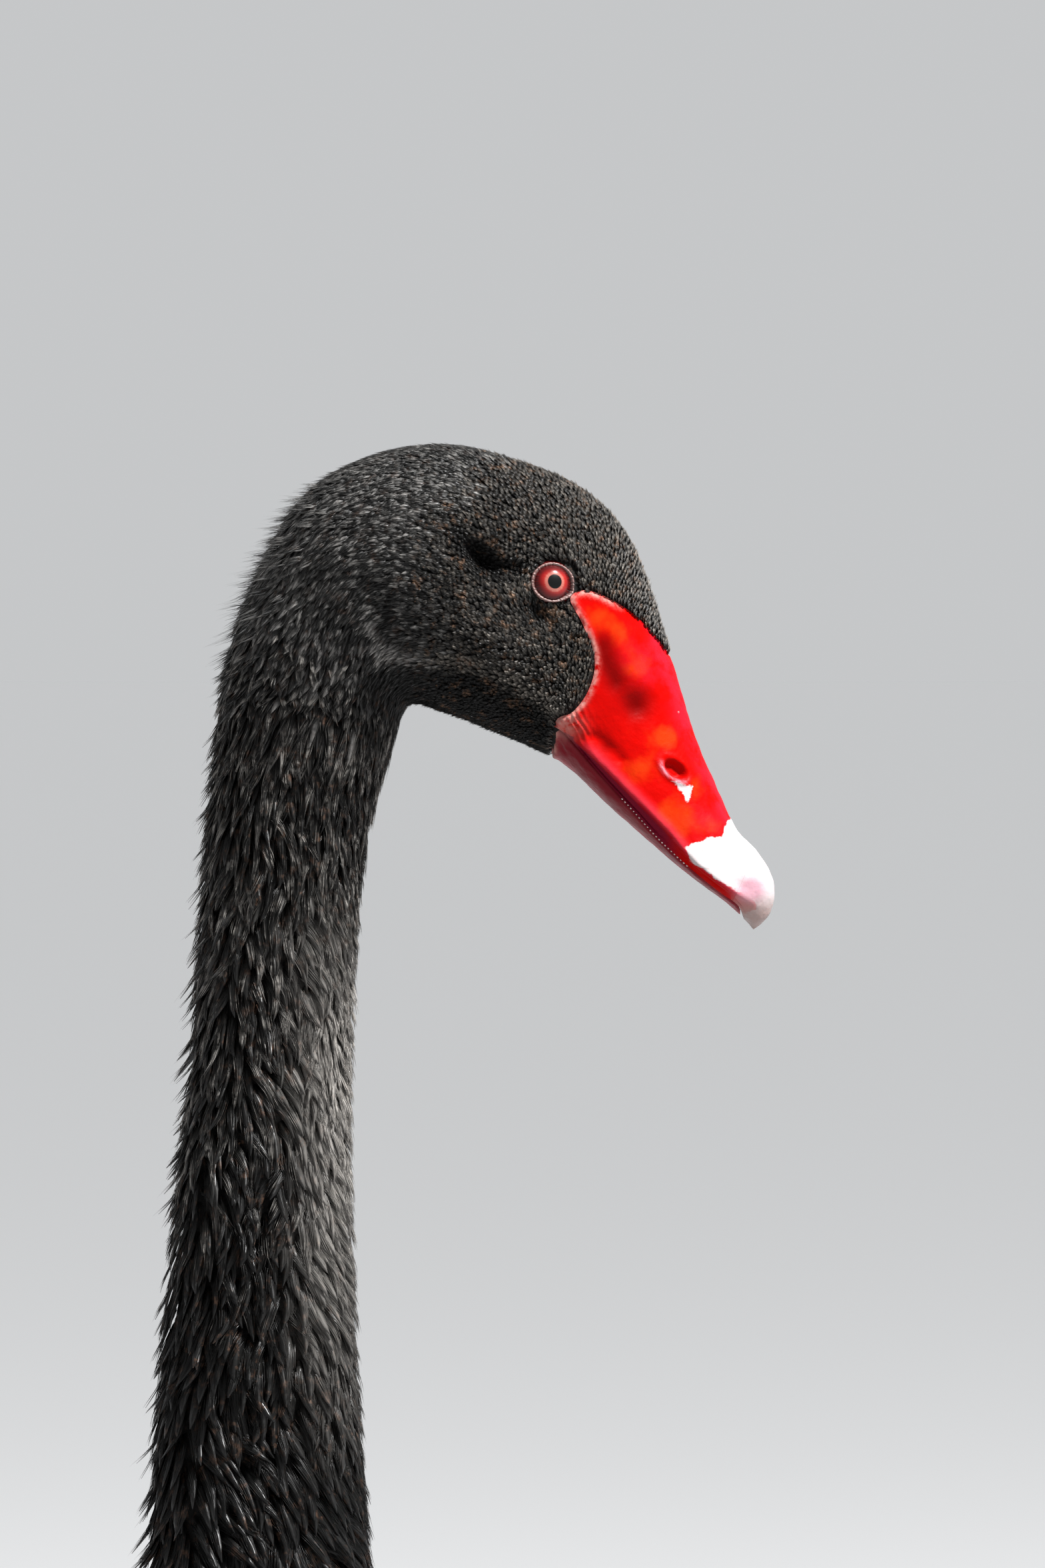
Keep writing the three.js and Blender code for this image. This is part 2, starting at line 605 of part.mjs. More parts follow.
// Three toes with claws, the web between them, and the short hind toe.
function foot() {
  const root = LEG.heel + LEG.shank;
  const toes = [-1, 0, 1].map((k) => {
    const angle = rad(k * LEG.splay + 4);
    const length = LEG.toe * (k === 0 ? 1 : 0.88);
    const along = (s) => [root + s * length * Math.cos(angle), LEG.side + s * length * Math.sin(angle)];
    const stops = [0, 0.3, 0.36, 0.62, 0.68, 0.9, 1].map((s, i) => {
      const knuckle = i === 1 || i === 3 ? 1.15 : 1;
      const half = mix(4.6, 2.2, s) * knuckle * (s === 1 ? 0.25 : 1);
      return [...along(s), half * 0.8, half, half];
    });
    return { end: along(0.9), solid: bar(stops, 6) };
  });
  const [inner, middle, outer] = toes.map((toe) => toe.end);
  const web = new THREE.Shape();
  web.moveTo(root, LEG.side - 3.5);
  web.lineTo(inner[0], inner[1]);
  web.quadraticCurveTo((inner[0] + middle[0]) / 2 - 12, (inner[1] + middle[1]) / 2, middle[0], middle[1]);
  web.quadraticCurveTo((outer[0] + middle[0]) / 2 - 12, (outer[1] + middle[1]) / 2, outer[0], outer[1]);
  web.lineTo(root, LEG.side + 3.5);
  const sheet = new THREE.ExtrudeGeometry(web, { depth: LEG.web, bevelEnabled: false, curveSegments: 5 });
  const hind = bar([
    [root + 6, LEG.side - 3, 4.4, 2.6, 2.8],
    [root - 6, LEG.side - 8.5, 4.4, 2.4, 2.6],
    [root - 16, LEG.side - 12, 3, 1.5, 2.0],
    [root - 20, LEG.side - 13, 2.2, 0.5, 0.8],
  ], 8);
  const pieces = [fromGeometry(sheet), hind, ...toes.map((toe) => toe.solid)];
  const clear = bar([
    [LEG.heel - 9, LEG.side, 5, 8, 8],
    [root + GAP, LEG.side, 5, 8, 8],
  ]);
  return joined(pieces).subtract(clear).subtract(torsoSkin).subtract(underFloor);
}

const [leftLeg, leftFoot] = [leg(), foot()];
addNode("leg_left", leftLeg, legSkin);
addNode("leg_right", mirrored(leftLeg), legSkin);
addNode("foot_left", leftFoot, legSkin);
addNode("foot_right", mirrored(leftFoot), legSkin);

export default model;
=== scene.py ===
"""A black swan resting on its belly with its neck upright, life size, dressed for the camera.

Sizes are in millimetres until a mesh is made, where they become metres.
+X is the way the bird faces, +Y is its left side and +Z is up.
"""
from __future__ import annotations

import logging
import math
from dataclasses import dataclass, field
from enum import Enum
from typing import Callable, Sequence

import bmesh
import bpy
import numpy as np
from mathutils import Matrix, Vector

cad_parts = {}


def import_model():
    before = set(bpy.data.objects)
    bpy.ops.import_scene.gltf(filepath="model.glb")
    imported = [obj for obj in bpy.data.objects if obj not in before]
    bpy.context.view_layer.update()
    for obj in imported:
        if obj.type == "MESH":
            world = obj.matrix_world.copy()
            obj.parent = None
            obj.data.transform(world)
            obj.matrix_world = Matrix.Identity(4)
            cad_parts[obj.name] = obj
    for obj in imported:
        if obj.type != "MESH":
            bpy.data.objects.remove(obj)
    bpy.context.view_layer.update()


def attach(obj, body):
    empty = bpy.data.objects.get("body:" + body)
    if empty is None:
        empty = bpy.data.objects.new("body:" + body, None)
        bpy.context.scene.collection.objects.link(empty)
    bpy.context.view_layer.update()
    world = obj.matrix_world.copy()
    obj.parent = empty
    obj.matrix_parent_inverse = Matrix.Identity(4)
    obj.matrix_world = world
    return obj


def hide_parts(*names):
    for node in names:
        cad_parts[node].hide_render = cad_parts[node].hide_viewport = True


log = logging.getLogger("swan")

Array = np.ndarray
Pair = tuple[float, float]
Colour = tuple[float, float, float]
Piece = bpy.types.Object
Socket = bpy.types.NodeSocket
Random = np.random.Generator
MM = 0.001
GROUND = 0.25  # how low a feather may hang, in millimetres above the floor
CEILING = 715.2  # how high the tufts of the crown may stand, in millimetres

# Cross-sections of the bird, from behind the tail to the tip of the bill: the point on the
# back line (x, z), the point on the underside (x, z), half the width, how far down from the
# back the widest line lies, the squareness above and below it, and how deep the coat is.
SECTIONS = [
    ("wing tips", -352, 166, -352, 126, 46, 0.5, 2.0, 2.0, 6.0),
    ("over the tail", -302, 166, -302, 122, 52, 0.5, 2.0, 2.0, 6.0),
    ("tail root", -258, 167, -258, 117, 57, 0.5, 2.0, 2.1, 6.0),
    ("rump", -236, 173, -231, 98, 68, 0.5, 2.0, 2.1, 6.5),
    ("vent", -212, 181, -196, 68, 81, 0.5, 2.1, 2.2, 7.0),
    ("hind belly", -184, 191, -156, 31, 96, 0.51, 2.1, 2.2, 7.0),
    ("behind the legs", -154, 201, -110, 4, 108, 0.52, 2.1, 2.3, 7.0),
    ("legs", -122, 209, -55, -2.6, 115, 0.53, 2.1, 2.3, 7.0),
    ("belly", -92, 215, 15, -2.6, 117, 0.54, 2.1, 2.3, 7.0),
    ("keel", -65, 219, 78, -0.6, 117, 0.54, 2.1, 2.3, 7.0),
    ("low breast", -40, 222, 131, 21, 114, 0.53, 2.1, 2.2, 7.0),
    ("breast", -14, 226, 174, 59, 107, 0.52, 2.1, 2.2, 7.0),
    ("high breast", 12, 233, 202, 112, 97, 0.5, 2.1, 2.1, 6.5),
    ("crop", 38, 245, 212, 170, 82, 0.5, 2.0, 2.0, 6.0),
    ("shoulders", 62, 265, 208, 224, 66, 0.5, 2.0, 2.0, 5.6),
    ("neck base", 82, 296, 198, 275, 51, 0.5, 2.0, 2.0, 5.0),
    ("low neck", 97, 335, 186, 324, 40, 0.5, 2.0, 2.0, 4.5),
    ("lower neck", 105, 372, 176, 368, 33, 0.5, 2.0, 2.0, 4.0),
    ("foot of the view", 110.5, 411, 170.5, 411, 28.5, 0.5, 2.0, 2.0, 3.6),
    ("middle neck", 115, 475, 166.3, 475, 24.6, 0.5, 2.0, 2.0, 3.2),
    ("upper neck", 121.5, 540, 165, 540, 21.4, 0.5, 2.0, 2.0, 2.8),
    ("top of the neck", 126, 600, 168.2, 600, 20.7, 0.5, 2.0, 2.0, 2.5),
    ("nape", 129.5, 634, 175.8, 632, 23, 0.5, 2.0, 2.0, 2.3),
    ("throat", 131.5, 652, 179, 641.5, 25.2, 0.5, 2.0, 2.0, 2.1),
    ("back of the head", 139.5, 677, 181.5, 644.3, 27.2, 0.5, 2.1, 2.1, 1.8),
    ("hind crown", 153, 699.9, 185, 644.2, 28.4, 0.52, 2.1, 2.1, 1.5),
    ("crown", 171, 710.9, 189.5, 642.6, 28.8, 0.55, 2.1, 2.2, 1.3),
    ("cheek", 192, 713.9, 196, 640.4, 28.2, 0.58, 2.0, 2.2, 1.2),
    ("behind the eye", 212, 709.1, 203.5, 637.3, 26.6, 0.6, 1.9, 2.2, 1.1),
    ("brow", 229, 701.3, 211, 634.3, 23.6, 0.62, 1.8, 2.2, 1.1),
    ("forehead", 241.3, 687.3, 217, 631.6, 20.2, 0.64, 1.75, 2.2, 1.0),
    ("bill base", 250.5, 662, 221, 629.2, 17.3, 0.72, 1.7, 2.2, 1.0),
    ("gape", 254, 650, 226.5, 625, 16, 0.8, 1.75, 2.2, 1.0),
    ("bill", 258.6, 635.2, 235, 616.8, 15, 0.8, 1.85, 2.2, 1.0),
    ("nostrils", 264.3, 621.7, 246, 607, 14.2, 0.8, 2.0, 2.2, 1.0),
    ("band", 269.6, 610.5, 256, 598.6, 14.3, 0.8, 2.1, 2.2, 1.0),
    ("nail", 275.8, 603.7, 264.8, 592, 13.2, 0.8, 2.1, 2.2, 1.0),
    ("hook", 279.8, 595.5, 269.5, 588.2, 9.8, 0.8, 2.1, 2.2, 1.0),
    ("nail tip", 279, 588.2, 272.6, 585, 5.4, 0.7, 2.0, 2.0, 0.5),
    ("very tip", 276.4, 584.7, 274.2, 583.2, 1.8, 0.5, 2.0, 2.0, 0.3),
]

# Lines in side view (x, z): where the feathers end and the bare bill begins, the closed
# mouth, the rear edge of the nail, and the raised lip of the upper bill.
FEATHER_LINE = [(251.6, 657.6), (244.3, 666.2), (236.6, 671.9), (229.0, 674.9), (224.7, 672.7),
                (227.6, 666.6), (230.6, 659.6), (231.2, 653.4), (229.2, 647.2), (225.4, 642.2),
                (220.8, 639.6), (219.6, 630.4)]
MOUTH_LINE = [(219.2, 638.8), (223.8, 635.6), (232.8, 625.2), (240.0, 617.4), (248.1, 608.4),
              (256.2, 600.7), (264.2, 594.0), (269.8, 590.0), (271.6, 586.2)]
NAIL_EDGE = [(274.6, 607.5), (272.6, 600.0), (268.0, 590.0)]
LIP_LINE = [(226.6, 634.8), (232.0, 629.8), (240.0, 621.7), (250.8, 610.9), (258.0, 602.6),
            (268.8, 593.9), (275.0, 590.3)]
# The pale band across the bill with the sides of the nail, closed beyond the ridge
# of the bill, and the pale patch below the nostril (x, z).
BAND_OUTLINE = [(269.5, 614.6), (267.3, 612.4), (265.4, 608.4), (261.6, 607.9), (255.3, 605.7),
                (257.1, 602.1), (261.6, 598.7), (266.1, 595.9), (270.6, 593.6), (274.3, 591.0),
                (274.8, 588.6), (271.8, 587.4), (270.5, 582.0), (284.0, 580.0), (284.0, 600.0),
                (280.0, 608.0), (276.5, 613.0)]
NOSTRIL_PATCH = [(251.3, 623.5), (252.9, 621.7), (254.7, 619.9), (255.8, 617.2), (257.3, 617.8),
                 (257.6, 619.9), (258.5, 622.5), (256.2, 622.8), (253.7, 623.9)]
# The furrow behind the eye with its deep rear end, and the long and the short hollow of the
# bill (x, z).
FURROW = [(194.5, 689.6), (201.0, 684.2), (206.0, 681.8), (213.6, 680.6)]
FURROW_END = (200.8, 683.6)
FURROW_TURN = -47.0
BILL_HOLLOW = (242.3, 644.2)
HOLLOW_LINE = [(233.6, 659.5), (234.8, 655.0), (236.8, 650.6)]
GROOVE_LINE = [(231.5, 635.4), (234.5, 633.2), (238.0, 629.4)]
# Where painted shade darkens the lower cheek, and the line of painted light above it (x, z).
LOW_CHEEK = [(182.0, 654.4), (199.3, 652.3), (217.3, 642.6), (220.0, 638.9), (219.3, 630.0),
             (199.3, 635.0), (179.9, 642.0), (171.6, 646.0), (171.6, 655.6)]
CHEEK_HIGHLIGHT_LINE = [(172.0, 669.0), (176.0, 660.5), (183.0, 656.6), (199.5, 654.6), (212.0, 648.6),
                (220.2, 642.6)]

EYE_PLACE = (220.0, 677.0)
EYE_BALL = 7.4
EYE_BULGE = 2.1
# Swellings and dimples of each side of the head: height, place (x, z) and how wide they fade.
HEAD_HUMPS = [(-0.6, 207.0, 671.0, 3.5), (1.5, 206.5, 689.5, 5.0), (1.0, 196.0, 694.5, 7.0),
              (1.7, 204.0, 661.0, 7.5), (1.0, 194.0, 675.0, 6.0), (1.2, 183.0, 669.0, 8.0),
              (1.0, 220.0, 688.0, 4.5), (-1.0, 190.0, 650.0, 5.0), (0.4, *EYE_PLACE, 8.0)]
BLOCK_WIDTH = 200.0  # of the blocks that cut the bill, in millimetres
PATCH = (0.0013, 0.0028)  # half the width and the length of a feather's patch on the skin's unwrap


def smoothstep(low: float, high: float, x: Array | float) -> Array:
    """A soft step from 0 at a low value to 1 at a high one."""
    u = np.clip((np.asarray(x, float) - low) / (high - low), 0, 1)
    return u * u * (3 - 2 * u)


def mix(a: Array | float, b: Array | float, share: Array | float) -> Array:
    """A share of the way from a to b."""
    return a + (b - a) * share


def bell(distance: Array, width: float) -> Array:
    """A round hump, 1 in the middle and fading over a width."""
    return np.exp(-0.5 * (distance / width) ** 2)


def spot(flat: Array, x: float, z: float, width: float) -> Array:
    """A round hump at a place of the side view."""
    return bell(np.linalg.norm(flat - [x, z], axis=-1), width)


def from_back(angle: Array) -> Array:
    """How far round angles lie from the back line on either side, in degrees."""
    return np.abs((np.asarray(angle) + 180) % 360 - 180)


def circle(count: int) -> Array:
    """Angles evenly round a circle, in radians."""
    return np.arange(count) * 2 * math.pi / count


def patch(across: Array, along: Array) -> Array:
    """The small patch on the skin's unwrap that a feather takes, round the place of its root."""
    return np.stack([PATCH[0] * across, PATCH[1] * (along - 0.5)], axis=-1)


def add_object(name: str, data: bpy.types.ID) -> Piece:
    """Makes an object at the origin and puts it in the scene.

    Args:
        name: Its name.
        data: Its mesh, lamp or camera.

    Returns:
        The object.
    """
    made = bpy.data.objects.new(name, data)
    bpy.context.scene.collection.objects.link(made)
    return made


def write_values(mesh: bpy.types.Mesh, values: dict[str, Array]) -> None:
    """Gives each point of a mesh its named values.

    Args:
        mesh: The mesh.
        values: A value for each point, by name.
    """
    for label, each in values.items():
        data = mesh.attributes.new(label, "FLOAT", "POINT").data
        data.foreach_set("value", np.asarray(each, np.float32))


def long_spot(flat: Array, place: Pair, long: float, wide: float, turn: float) -> Array:
    """A long hump in side view.

    Args:
        flat: Where to read it (x, z).
        place: Its middle.
        long: How it fades along.
        wide: How it fades across.
        turn: The direction of its length, in degrees up from straight ahead.

    Returns:
        The height at each point, 1 in the middle.
    """
    c, s = math.cos(math.radians(turn)), math.sin(math.radians(turn))
    off = flat - np.array(place)
    return bell(np.hypot(off @ [c, s] / long, off @ [-s, c] / wide), 1.0)


def signed_reach(flat: Array, outline: Sequence[Pair]) -> Array:
    """How far points lie outside a closed outline in side view, negative inside it."""
    closed = np.array([*outline, outline[0]], float)
    return line_distance(flat, closed)[0] * np.where(inside(flat, closed[:-1]), -1, 1)


def through(rows: Array, t: Array) -> Array:
    """A smooth curve through rows of numbers.

    Args:
        rows: The rows that it passes through.
        t: Where to read it, counted in rows.

    Returns:
        One row of numbers for each place.
    """
    t = np.asarray(t, float)
    last = len(rows) - 1
    i = np.clip(np.floor(t).astype(int), 0, last - 1)
    u = (t - i)[..., None]
    p, q, r, s = (rows[np.clip(i + k, 0, last)] for k in (-1, 0, 1, 2))
    return q + 0.5 * u * (r - p + u * (2 * p - 5 * q + 4 * r - s + u * (3 * (q - r) + s - p)))


def smooth_line(points: Sequence[Pair], count: int, shift: float = 0.0) -> Array:
    """A side-view line drawn smooth.

    Args:
        points: The points that it passes through.
        count: How many steps it gets.
        shift: How far it moves to its left.

    Returns:
        The points of the smooth line.
    """
    t = np.linspace(0, len(points) - 1, count + 1)
    rows = np.array(points, float)
    line = through(rows, t)
    ahead = through(rows, t + 0.01) - through(rows, t - 0.01)
    ahead /= np.linalg.norm(ahead, axis=1, keepdims=True)
    return line + shift * np.stack([-ahead[:, 1], ahead[:, 0]], axis=1)


def line_distance(points: Array, line: Array) -> tuple[Array, Array]:
    """How far points lie from a line in side view.

    Args:
        points: The points (x, z).
        line: The points of the line.

    Returns:
        The distance of each point, and how far along the line its nearest point is.
    """
    best = np.full(len(points), 1e9)
    along = np.zeros(len(points))
    for k in range(len(line) - 1):
        a, b = line[k], line[k + 1]
        u = np.clip(((points - a) @ (b - a)) / max(1e-9, (b - a) @ (b - a)), 0, 1)
        off = np.linalg.norm(points - a - u[:, None] * (b - a), axis=1)
        nearer = off < best
        best[nearer] = off[nearer]
        along[nearer] = (k + u[nearer]) / (len(line) - 1)
    return best, along


def inside(points: Array, outline: Array) -> Array:
    """Which points lie inside a closed outline in side view.

    Args:
        points: The points (x, z).
        outline: The points of the outline.

    Returns:
        True for each point inside it.
    """
    x, z = points[:, 0], points[:, 1]
    result = np.zeros(len(points), bool)
    for (x0, z0), (x1, z1) in zip(outline, np.roll(outline, -1, axis=0)):
        if z0 != z1:
            crosses = (z0 > z) != (z1 > z)
            result ^= crosses & (x < (x1 - x0) * (z - z0) / (z1 - z0) + x0)
    return result


def soft_noise(points: Array, size: float, seed: int) -> Array:
    """Smooth random values in space.

    Args:
        points: Where to read them.
        size: The size of a blot, in the units of the points.
        seed: Which pattern.

    Returns:
        A value between -1 and 1 at each point.
    """
    table = np.random.default_rng(seed).uniform(-1, 1, 4096)
    cell = np.asarray(points, float) / size
    base = np.floor(cell).astype(np.int64)
    u = cell - base
    u = u * u * (3 - 2 * u)
    total = np.zeros(cell.shape[:-1])
    for corner in range(2 ** cell.shape[-1]):
        bits = [(corner >> k) & 1 for k in range(cell.shape[-1])]
        pairs = zip(bits, (73, 1579, 7919))
        key = sum((base[..., k] + bit) * prime for k, (bit, prime) in enumerate(pairs))
        weight = np.prod([u[..., k] if bit else 1 - u[..., k] for k, bit in enumerate(bits)], axis=0)
        total += weight * table[key % 4096]
    return total


def bare_outline() -> Array:
    """The side-view outline of all that lies in front of the feather line."""
    return np.concatenate([smooth_line(FEATHER_LINE, 66), [(214, 560), (310, 560), (310, 662)]])


@dataclass
class Shell:
    """Points, triangles and values that become one mesh."""

    points: Array
    faces: Array
    values: dict[str, Array] = field(default_factory=dict)
    maps: dict[str, Array] = field(default_factory=dict)

    @staticmethod
    def joined(shells: Sequence["Shell"]) -> "Shell":
        """Puts several shells together as one.

        Args:
            shells: The shells, which all carry the same values and maps.

        Returns:
            The shell that holds them all.
        """
        starts = np.cumsum([0] + [len(s.points) for s in shells])
        faces = [s.faces + start for s, start in zip(shells, starts)]
        return Shell(
            np.concatenate([s.points for s in shells]),
            np.concatenate(faces),
            {k: np.concatenate([s.values[k] for s in shells]) for k in shells[0].values},
            {k: np.concatenate([s.maps[k] for s in shells]) for k in shells[0].maps},
        )

    def mirrored(self) -> "Shell":
        """The same shell on the other side of the bird."""
        return Shell(self.points * [1, -1, 1], self.faces[:, ::-1], self.values, self.maps)

    def outward(self) -> "Shell":
        """Turns all faces round if the shell is inside out.

        Returns:
            This shell.
        """
        a, b, c = (self.points[self.faces[:, k]] for k in range(3))
        if np.einsum("ij,ij->i", a, np.cross(b, c)).sum() < 0:
            self.faces = self.faces[:, ::-1]
        return self

    def to_object(self, name: str, material: bpy.types.Material, smooth: bool = True) -> Piece:
        """Makes the mesh and its object.

        Args:
            name: The name of the piece.
            material: What it is finished with.
            smooth: Whether its faces are shaded smooth.

        Returns:
            The object, at the origin.
        """
        mesh = bpy.data.meshes.new(name)
        faces = np.ascontiguousarray(self.faces, np.int32)
        mesh.vertices.add(len(self.points))
        mesh.vertices.foreach_set("co", (self.points * MM).astype(np.float32).ravel())
        mesh.loops.add(faces.size)
        mesh.loops.foreach_set("vertex_index", faces.ravel())
        mesh.polygons.add(len(faces))
        mesh.polygons.foreach_set("loop_start", np.arange(0, faces.size, 3, dtype=np.int32))
        mesh.polygons.foreach_set("loop_total", np.full(len(faces), 3, np.int32))
        mesh.polygons.foreach_set("use_smooth", np.full(len(faces), smooth, bool))
        mesh.update(calc_edges=True)
        write_values(mesh, self.values)
        for label, places in self.maps.items():
            layer = mesh.uv_layers.new(name=label)
            layer.data.foreach_set("uv", places[faces.ravel()].astype(np.float32).ravel())
        mesh.materials.append(material)
        return add_object(name, mesh)


def grid_faces(rows: int, columns: int, closed: bool = False) -> Array:
    """Triangles of a grid of points.

    Args:
        rows: How many rows of points.
        columns: How many points in a row.
        closed: Whether each row runs round to its start.

    Returns:
        The triangles.
    """
    i, j = np.meshgrid(np.arange(rows - 1), np.arange(columns if closed else columns - 1), indexing="ij")
    a = (i * columns + j).ravel()
    b = (i * columns + (j + 1) % columns).ravel()
    c, d = b + columns, a + columns
    return np.concatenate([np.stack([a, b, c], 1), np.stack([a, c, d], 1)])


def loft(rings: Array) -> Shell:
    """Closed rings of points joined in order and closed at both ends.

    Args:
        rings: The rings, all with as many points.

    Returns:
        The closed shell.
    """
    count, sides = rings.shape[:2]
    points = np.concatenate([rings.reshape(-1, 3), rings[:1].mean(axis=1), rings[-1:].mean(axis=1)])
    k = np.arange(sides)
    first = np.stack([(k + 1) % sides, k, np.full(sides, count * sides)], 1)
    end = (count - 1) * sides
    last = np.stack([end + k, end + (k + 1) % sides, np.full(sides, count * sides + 1)], 1)
    return Shell(points, np.concatenate([grid_faces(count, sides, True), first, last])).outward()


def prism(outline: Array) -> Shell:
    """A block that covers a side-view outline across the whole bird.

    Args:
        outline: The points of the outline (x, z).

    Returns:
        The closed block.
    """
    outline = np.asarray(outline, float)
    x, z = outline.T
    if (x * np.roll(z, -1) - np.roll(x, -1) * z).sum() < 0:
        outline = outline[::-1]
    count = len(outline)
    near = np.stack([outline[:, 0], np.full(count, -BLOCK_WIDTH / 2), outline[:, 1]], 1)
    far = near + [0, BLOCK_WIDTH, 0]
    sides = [(k, (k + 1) % count, count + (k + 1) % count, count + k) for k in range(count)]
    walls = np.array([tri for a, b, c, d in sides for tri in ((a, b, c), (a, c, d))])
    flat = np.array(ear_clip(outline))
    faces = np.concatenate([walls, flat[:, ::-1], flat + count])
    return Shell(np.concatenate([near, far]), faces).outward()


def ear_clip(outline: Array) -> list[tuple[int, int, int]]:
    """Cuts a flat outline that runs to the left and has no crossings into triangles.

    Args:
        outline: The points of the outline.

    Returns:
        The triangles, as three places in the outline each.
    """
    def turn(a: Array, b: Array, c: Array) -> float:
        """How far the path a, b, c turns left."""
        return float((b[0] - a[0]) * (c[1] - a[1]) - (b[1] - a[1]) * (c[0] - a[0]))

    left = list(range(len(outline)))
    triangles = []
    while len(left) > 3:
        for k in range(len(left)):
            i, j, m = left[k - 1], left[k], left[(k + 1) % len(left)]
            a, b, c = outline[i], outline[j], outline[m]
            if turn(a, b, c) <= 0:
                continue
            others = (outline[n] for n in left if n not in (i, j, m))
            if not any(turn(a, b, p) >= 0 and turn(b, c, p) >= 0 and turn(c, a, p) >= 0 for p in others):
                triangles.append((i, j, m))
                left.pop(k)
                break
        else:
            break
    triangles.append(tuple(left[:3]))
    return triangles


class BodyForm:
    """The bird's surface, read at a place along it (t) and an angle round it.

    Angle 0 is the back line and 90 the left side. Feathers lie towards smaller t.
    """

    def __init__(self) -> None:
        """Reads the sections and keeps a fine table of the surface."""
        self.names = [row[0] for row in SECTIONS]
        self.rows = np.array([row[1:] for row in SECTIONS], float)
        self.first, self.step = -1.0, 0.02
        stops = np.arange(self.first, len(SECTIONS) - 1 + self.step / 2, self.step)
        t, angle = np.meshgrid(stops, np.arange(-180.0, 181.0), indexing="ij")
        self.table_points = self.shape(t, angle)
        ahead = self.shape(t + self.step, angle) - self.shape(t - self.step, angle)
        around = self.shape(t, angle + 1) - self.shape(t, angle - 1)
        normals = np.cross(ahead, around)
        self.table_normals = normals / np.maximum(1e-9, np.linalg.norm(normals, axis=-1, keepdims=True))
        relief = self.head_relief(self.table_points, self.table_normals)
        self.table_points += self.table_normals * relief[..., None]

    def at(self, name: str) -> float:
        """The place of a named section."""
        return float(self.names.index(name))

    def shape(self, t: Array, angle: Array) -> Array:
        """The plain surface through the sections.

        Args:
            t: Places along the bird, counted in sections.
            angle: Angles round it, in degrees.

        Returns:
            The points.
        """
        dx, dz, vx, vz, half, share, above, below, _ = np.moveaxis(through(self.rows, t), -1, 0)
        c, s = np.cos(np.radians(angle)), np.sin(np.radians(angle))
        power = 2 / np.where(c >= 0, above, below)
        reach = np.sign(c) * np.abs(c) ** power
        cx, cz = mix(dx, vx, share), mix(dz, vz, share)
        x = cx + reach * np.where(reach >= 0, dx - cx, cx - vx)
        z = cz + reach * np.where(reach >= 0, dz - cz, cz - vz)
        return np.stack([x, half * np.sign(s) * np.abs(s) ** power, z], axis=-1)

    def head_relief(self, points: Array, normals: Array) -> Array:
        """How far the head stands out from or sinks into its plain form.

        Args:
            points: Points of the plain surface.
            normals: The directions out of it there.

        Returns:
            The height at each point.
        """
        flat = points[..., [0, 2]].reshape(-1, 2)
        side = smoothstep(0.35, 0.8, np.abs(normals[..., 1])).ravel()
        near = flat[:, 1] > 600
        furrow, share = line_distance(flat, smooth_line(FURROW, 10))
        height = -1.9 * bell(furrow, 1.0) * smoothstep(0, 0.25, share) * smoothstep(1.0, 0.85, share)
        height -= 4.6 * long_spot(flat, FURROW_END, 3.9, 1.9, FURROW_TURN)
        height -= 2.6 * long_spot(flat, (216.6, 668.6), 3.0, 1.5, -35)
        for high, x, z, width in HEAD_HUMPS:
            height += high * spot(flat, x, z, width)
        height += 0.45 * soft_noise(points.reshape(-1, 3), 9.0, 5)
        return (height * side * near).reshape(points.shape[:-1])

    def painted_light_and_shade(self, points: Array) -> Array:
        """How much painted shade darkens the plumage at some points, or below 0 how much painted light
        lightens it.

        Args:
            points: Points of the surface.

        Returns:
            The painted darkness of each.
        """
        flat = points[:, [0, 2]]
        furrow, share = line_distance(flat, smooth_line(FURROW, 10))
        # Painted shade in the furrow behind the eye, deepest at its rear end.
        dark = 1.5 * long_spot(flat, FURROW_END, 4.0, 2.0, FURROW_TURN)
        dark = dark + 1.2 * bell(furrow, 1.0) * (share < 1)
        # Painted shade in the hollow under the eye.
        dark = dark + 1.5 * long_spot(flat, (216.6, 668.5), 2.8, 1.3, -35)
        ragged = 1.2 * soft_noise(points, 2.5, 17)
        # Painted shade on the lower cheek, under its bulge.
        dark = dark + 0.75 * smoothstep(1.0, -2.0, signed_reach(flat, LOW_CHEEK) + ragged)
        # Painted light along the line above the lower cheek.
        fringe = line_distance(flat, smooth_line(CHEEK_HIGHLIGHT_LINE, 20))[0] + ragged
        # Painted shade lower down the neck, and darker in a spot behind the cheek.
        low = 0.95 * smoothstep(540, 440, points[:, 2]) + 0.25 * spot(flat, 178, 670, 9)
        return np.clip(dark, 0, 1) - 0.8 * bell(fringe, 1.4) + low

    def depth(self, t: Array) -> Array:
        """How deep the coat is at places along the bird."""
        return through(self.rows[:, -1:], t)[..., 0]

    def sample(self, t: Array, angle: Array) -> tuple[Array, Array]:
        """Points of the surface and the directions out of it.

        Args:
            t: Places along the bird.
            angle: Angles round it, in degrees.

        Returns:
            The points and the normals.
        """
        row = np.clip((np.asarray(t, float) - self.first) / self.step, 0, len(self.table_points) - 1.001)
        col = (np.asarray(angle, float) + 180) % 360
        i, j = np.floor(row).astype(int), np.minimum(np.floor(col).astype(int), 359)
        u, v = (row - i)[..., None], (col - j)[..., None]

        def read(table: Array) -> Array:
            """A table's value between its four nearest entries."""
            near, far = mix(table[i, j], table[i + 1, j], u), mix(table[i, j + 1], table[i + 1, j + 1], u)
            return mix(near, far, v)

        return read(self.table_points), read(self.table_normals)

    def measure(self, t: Array, angle: Array) -> tuple[Array, Array]:
        """Millimetres for each step along and for each degree round, at some places.

        Args:
            t: Places along the bird.
            angle: Angles round it, in degrees.

        Returns:
            The millimetres along and the millimetres round.
        """
        along = self.sample(t + 0.05, angle)[0] - self.sample(t - 0.05, angle)[0]
        around = self.sample(t, angle + 1.5)[0] - self.sample(t, angle - 1.5)[0]
        return np.linalg.norm(along, axis=-1) / 0.1, np.linalg.norm(around, axis=-1) / 3

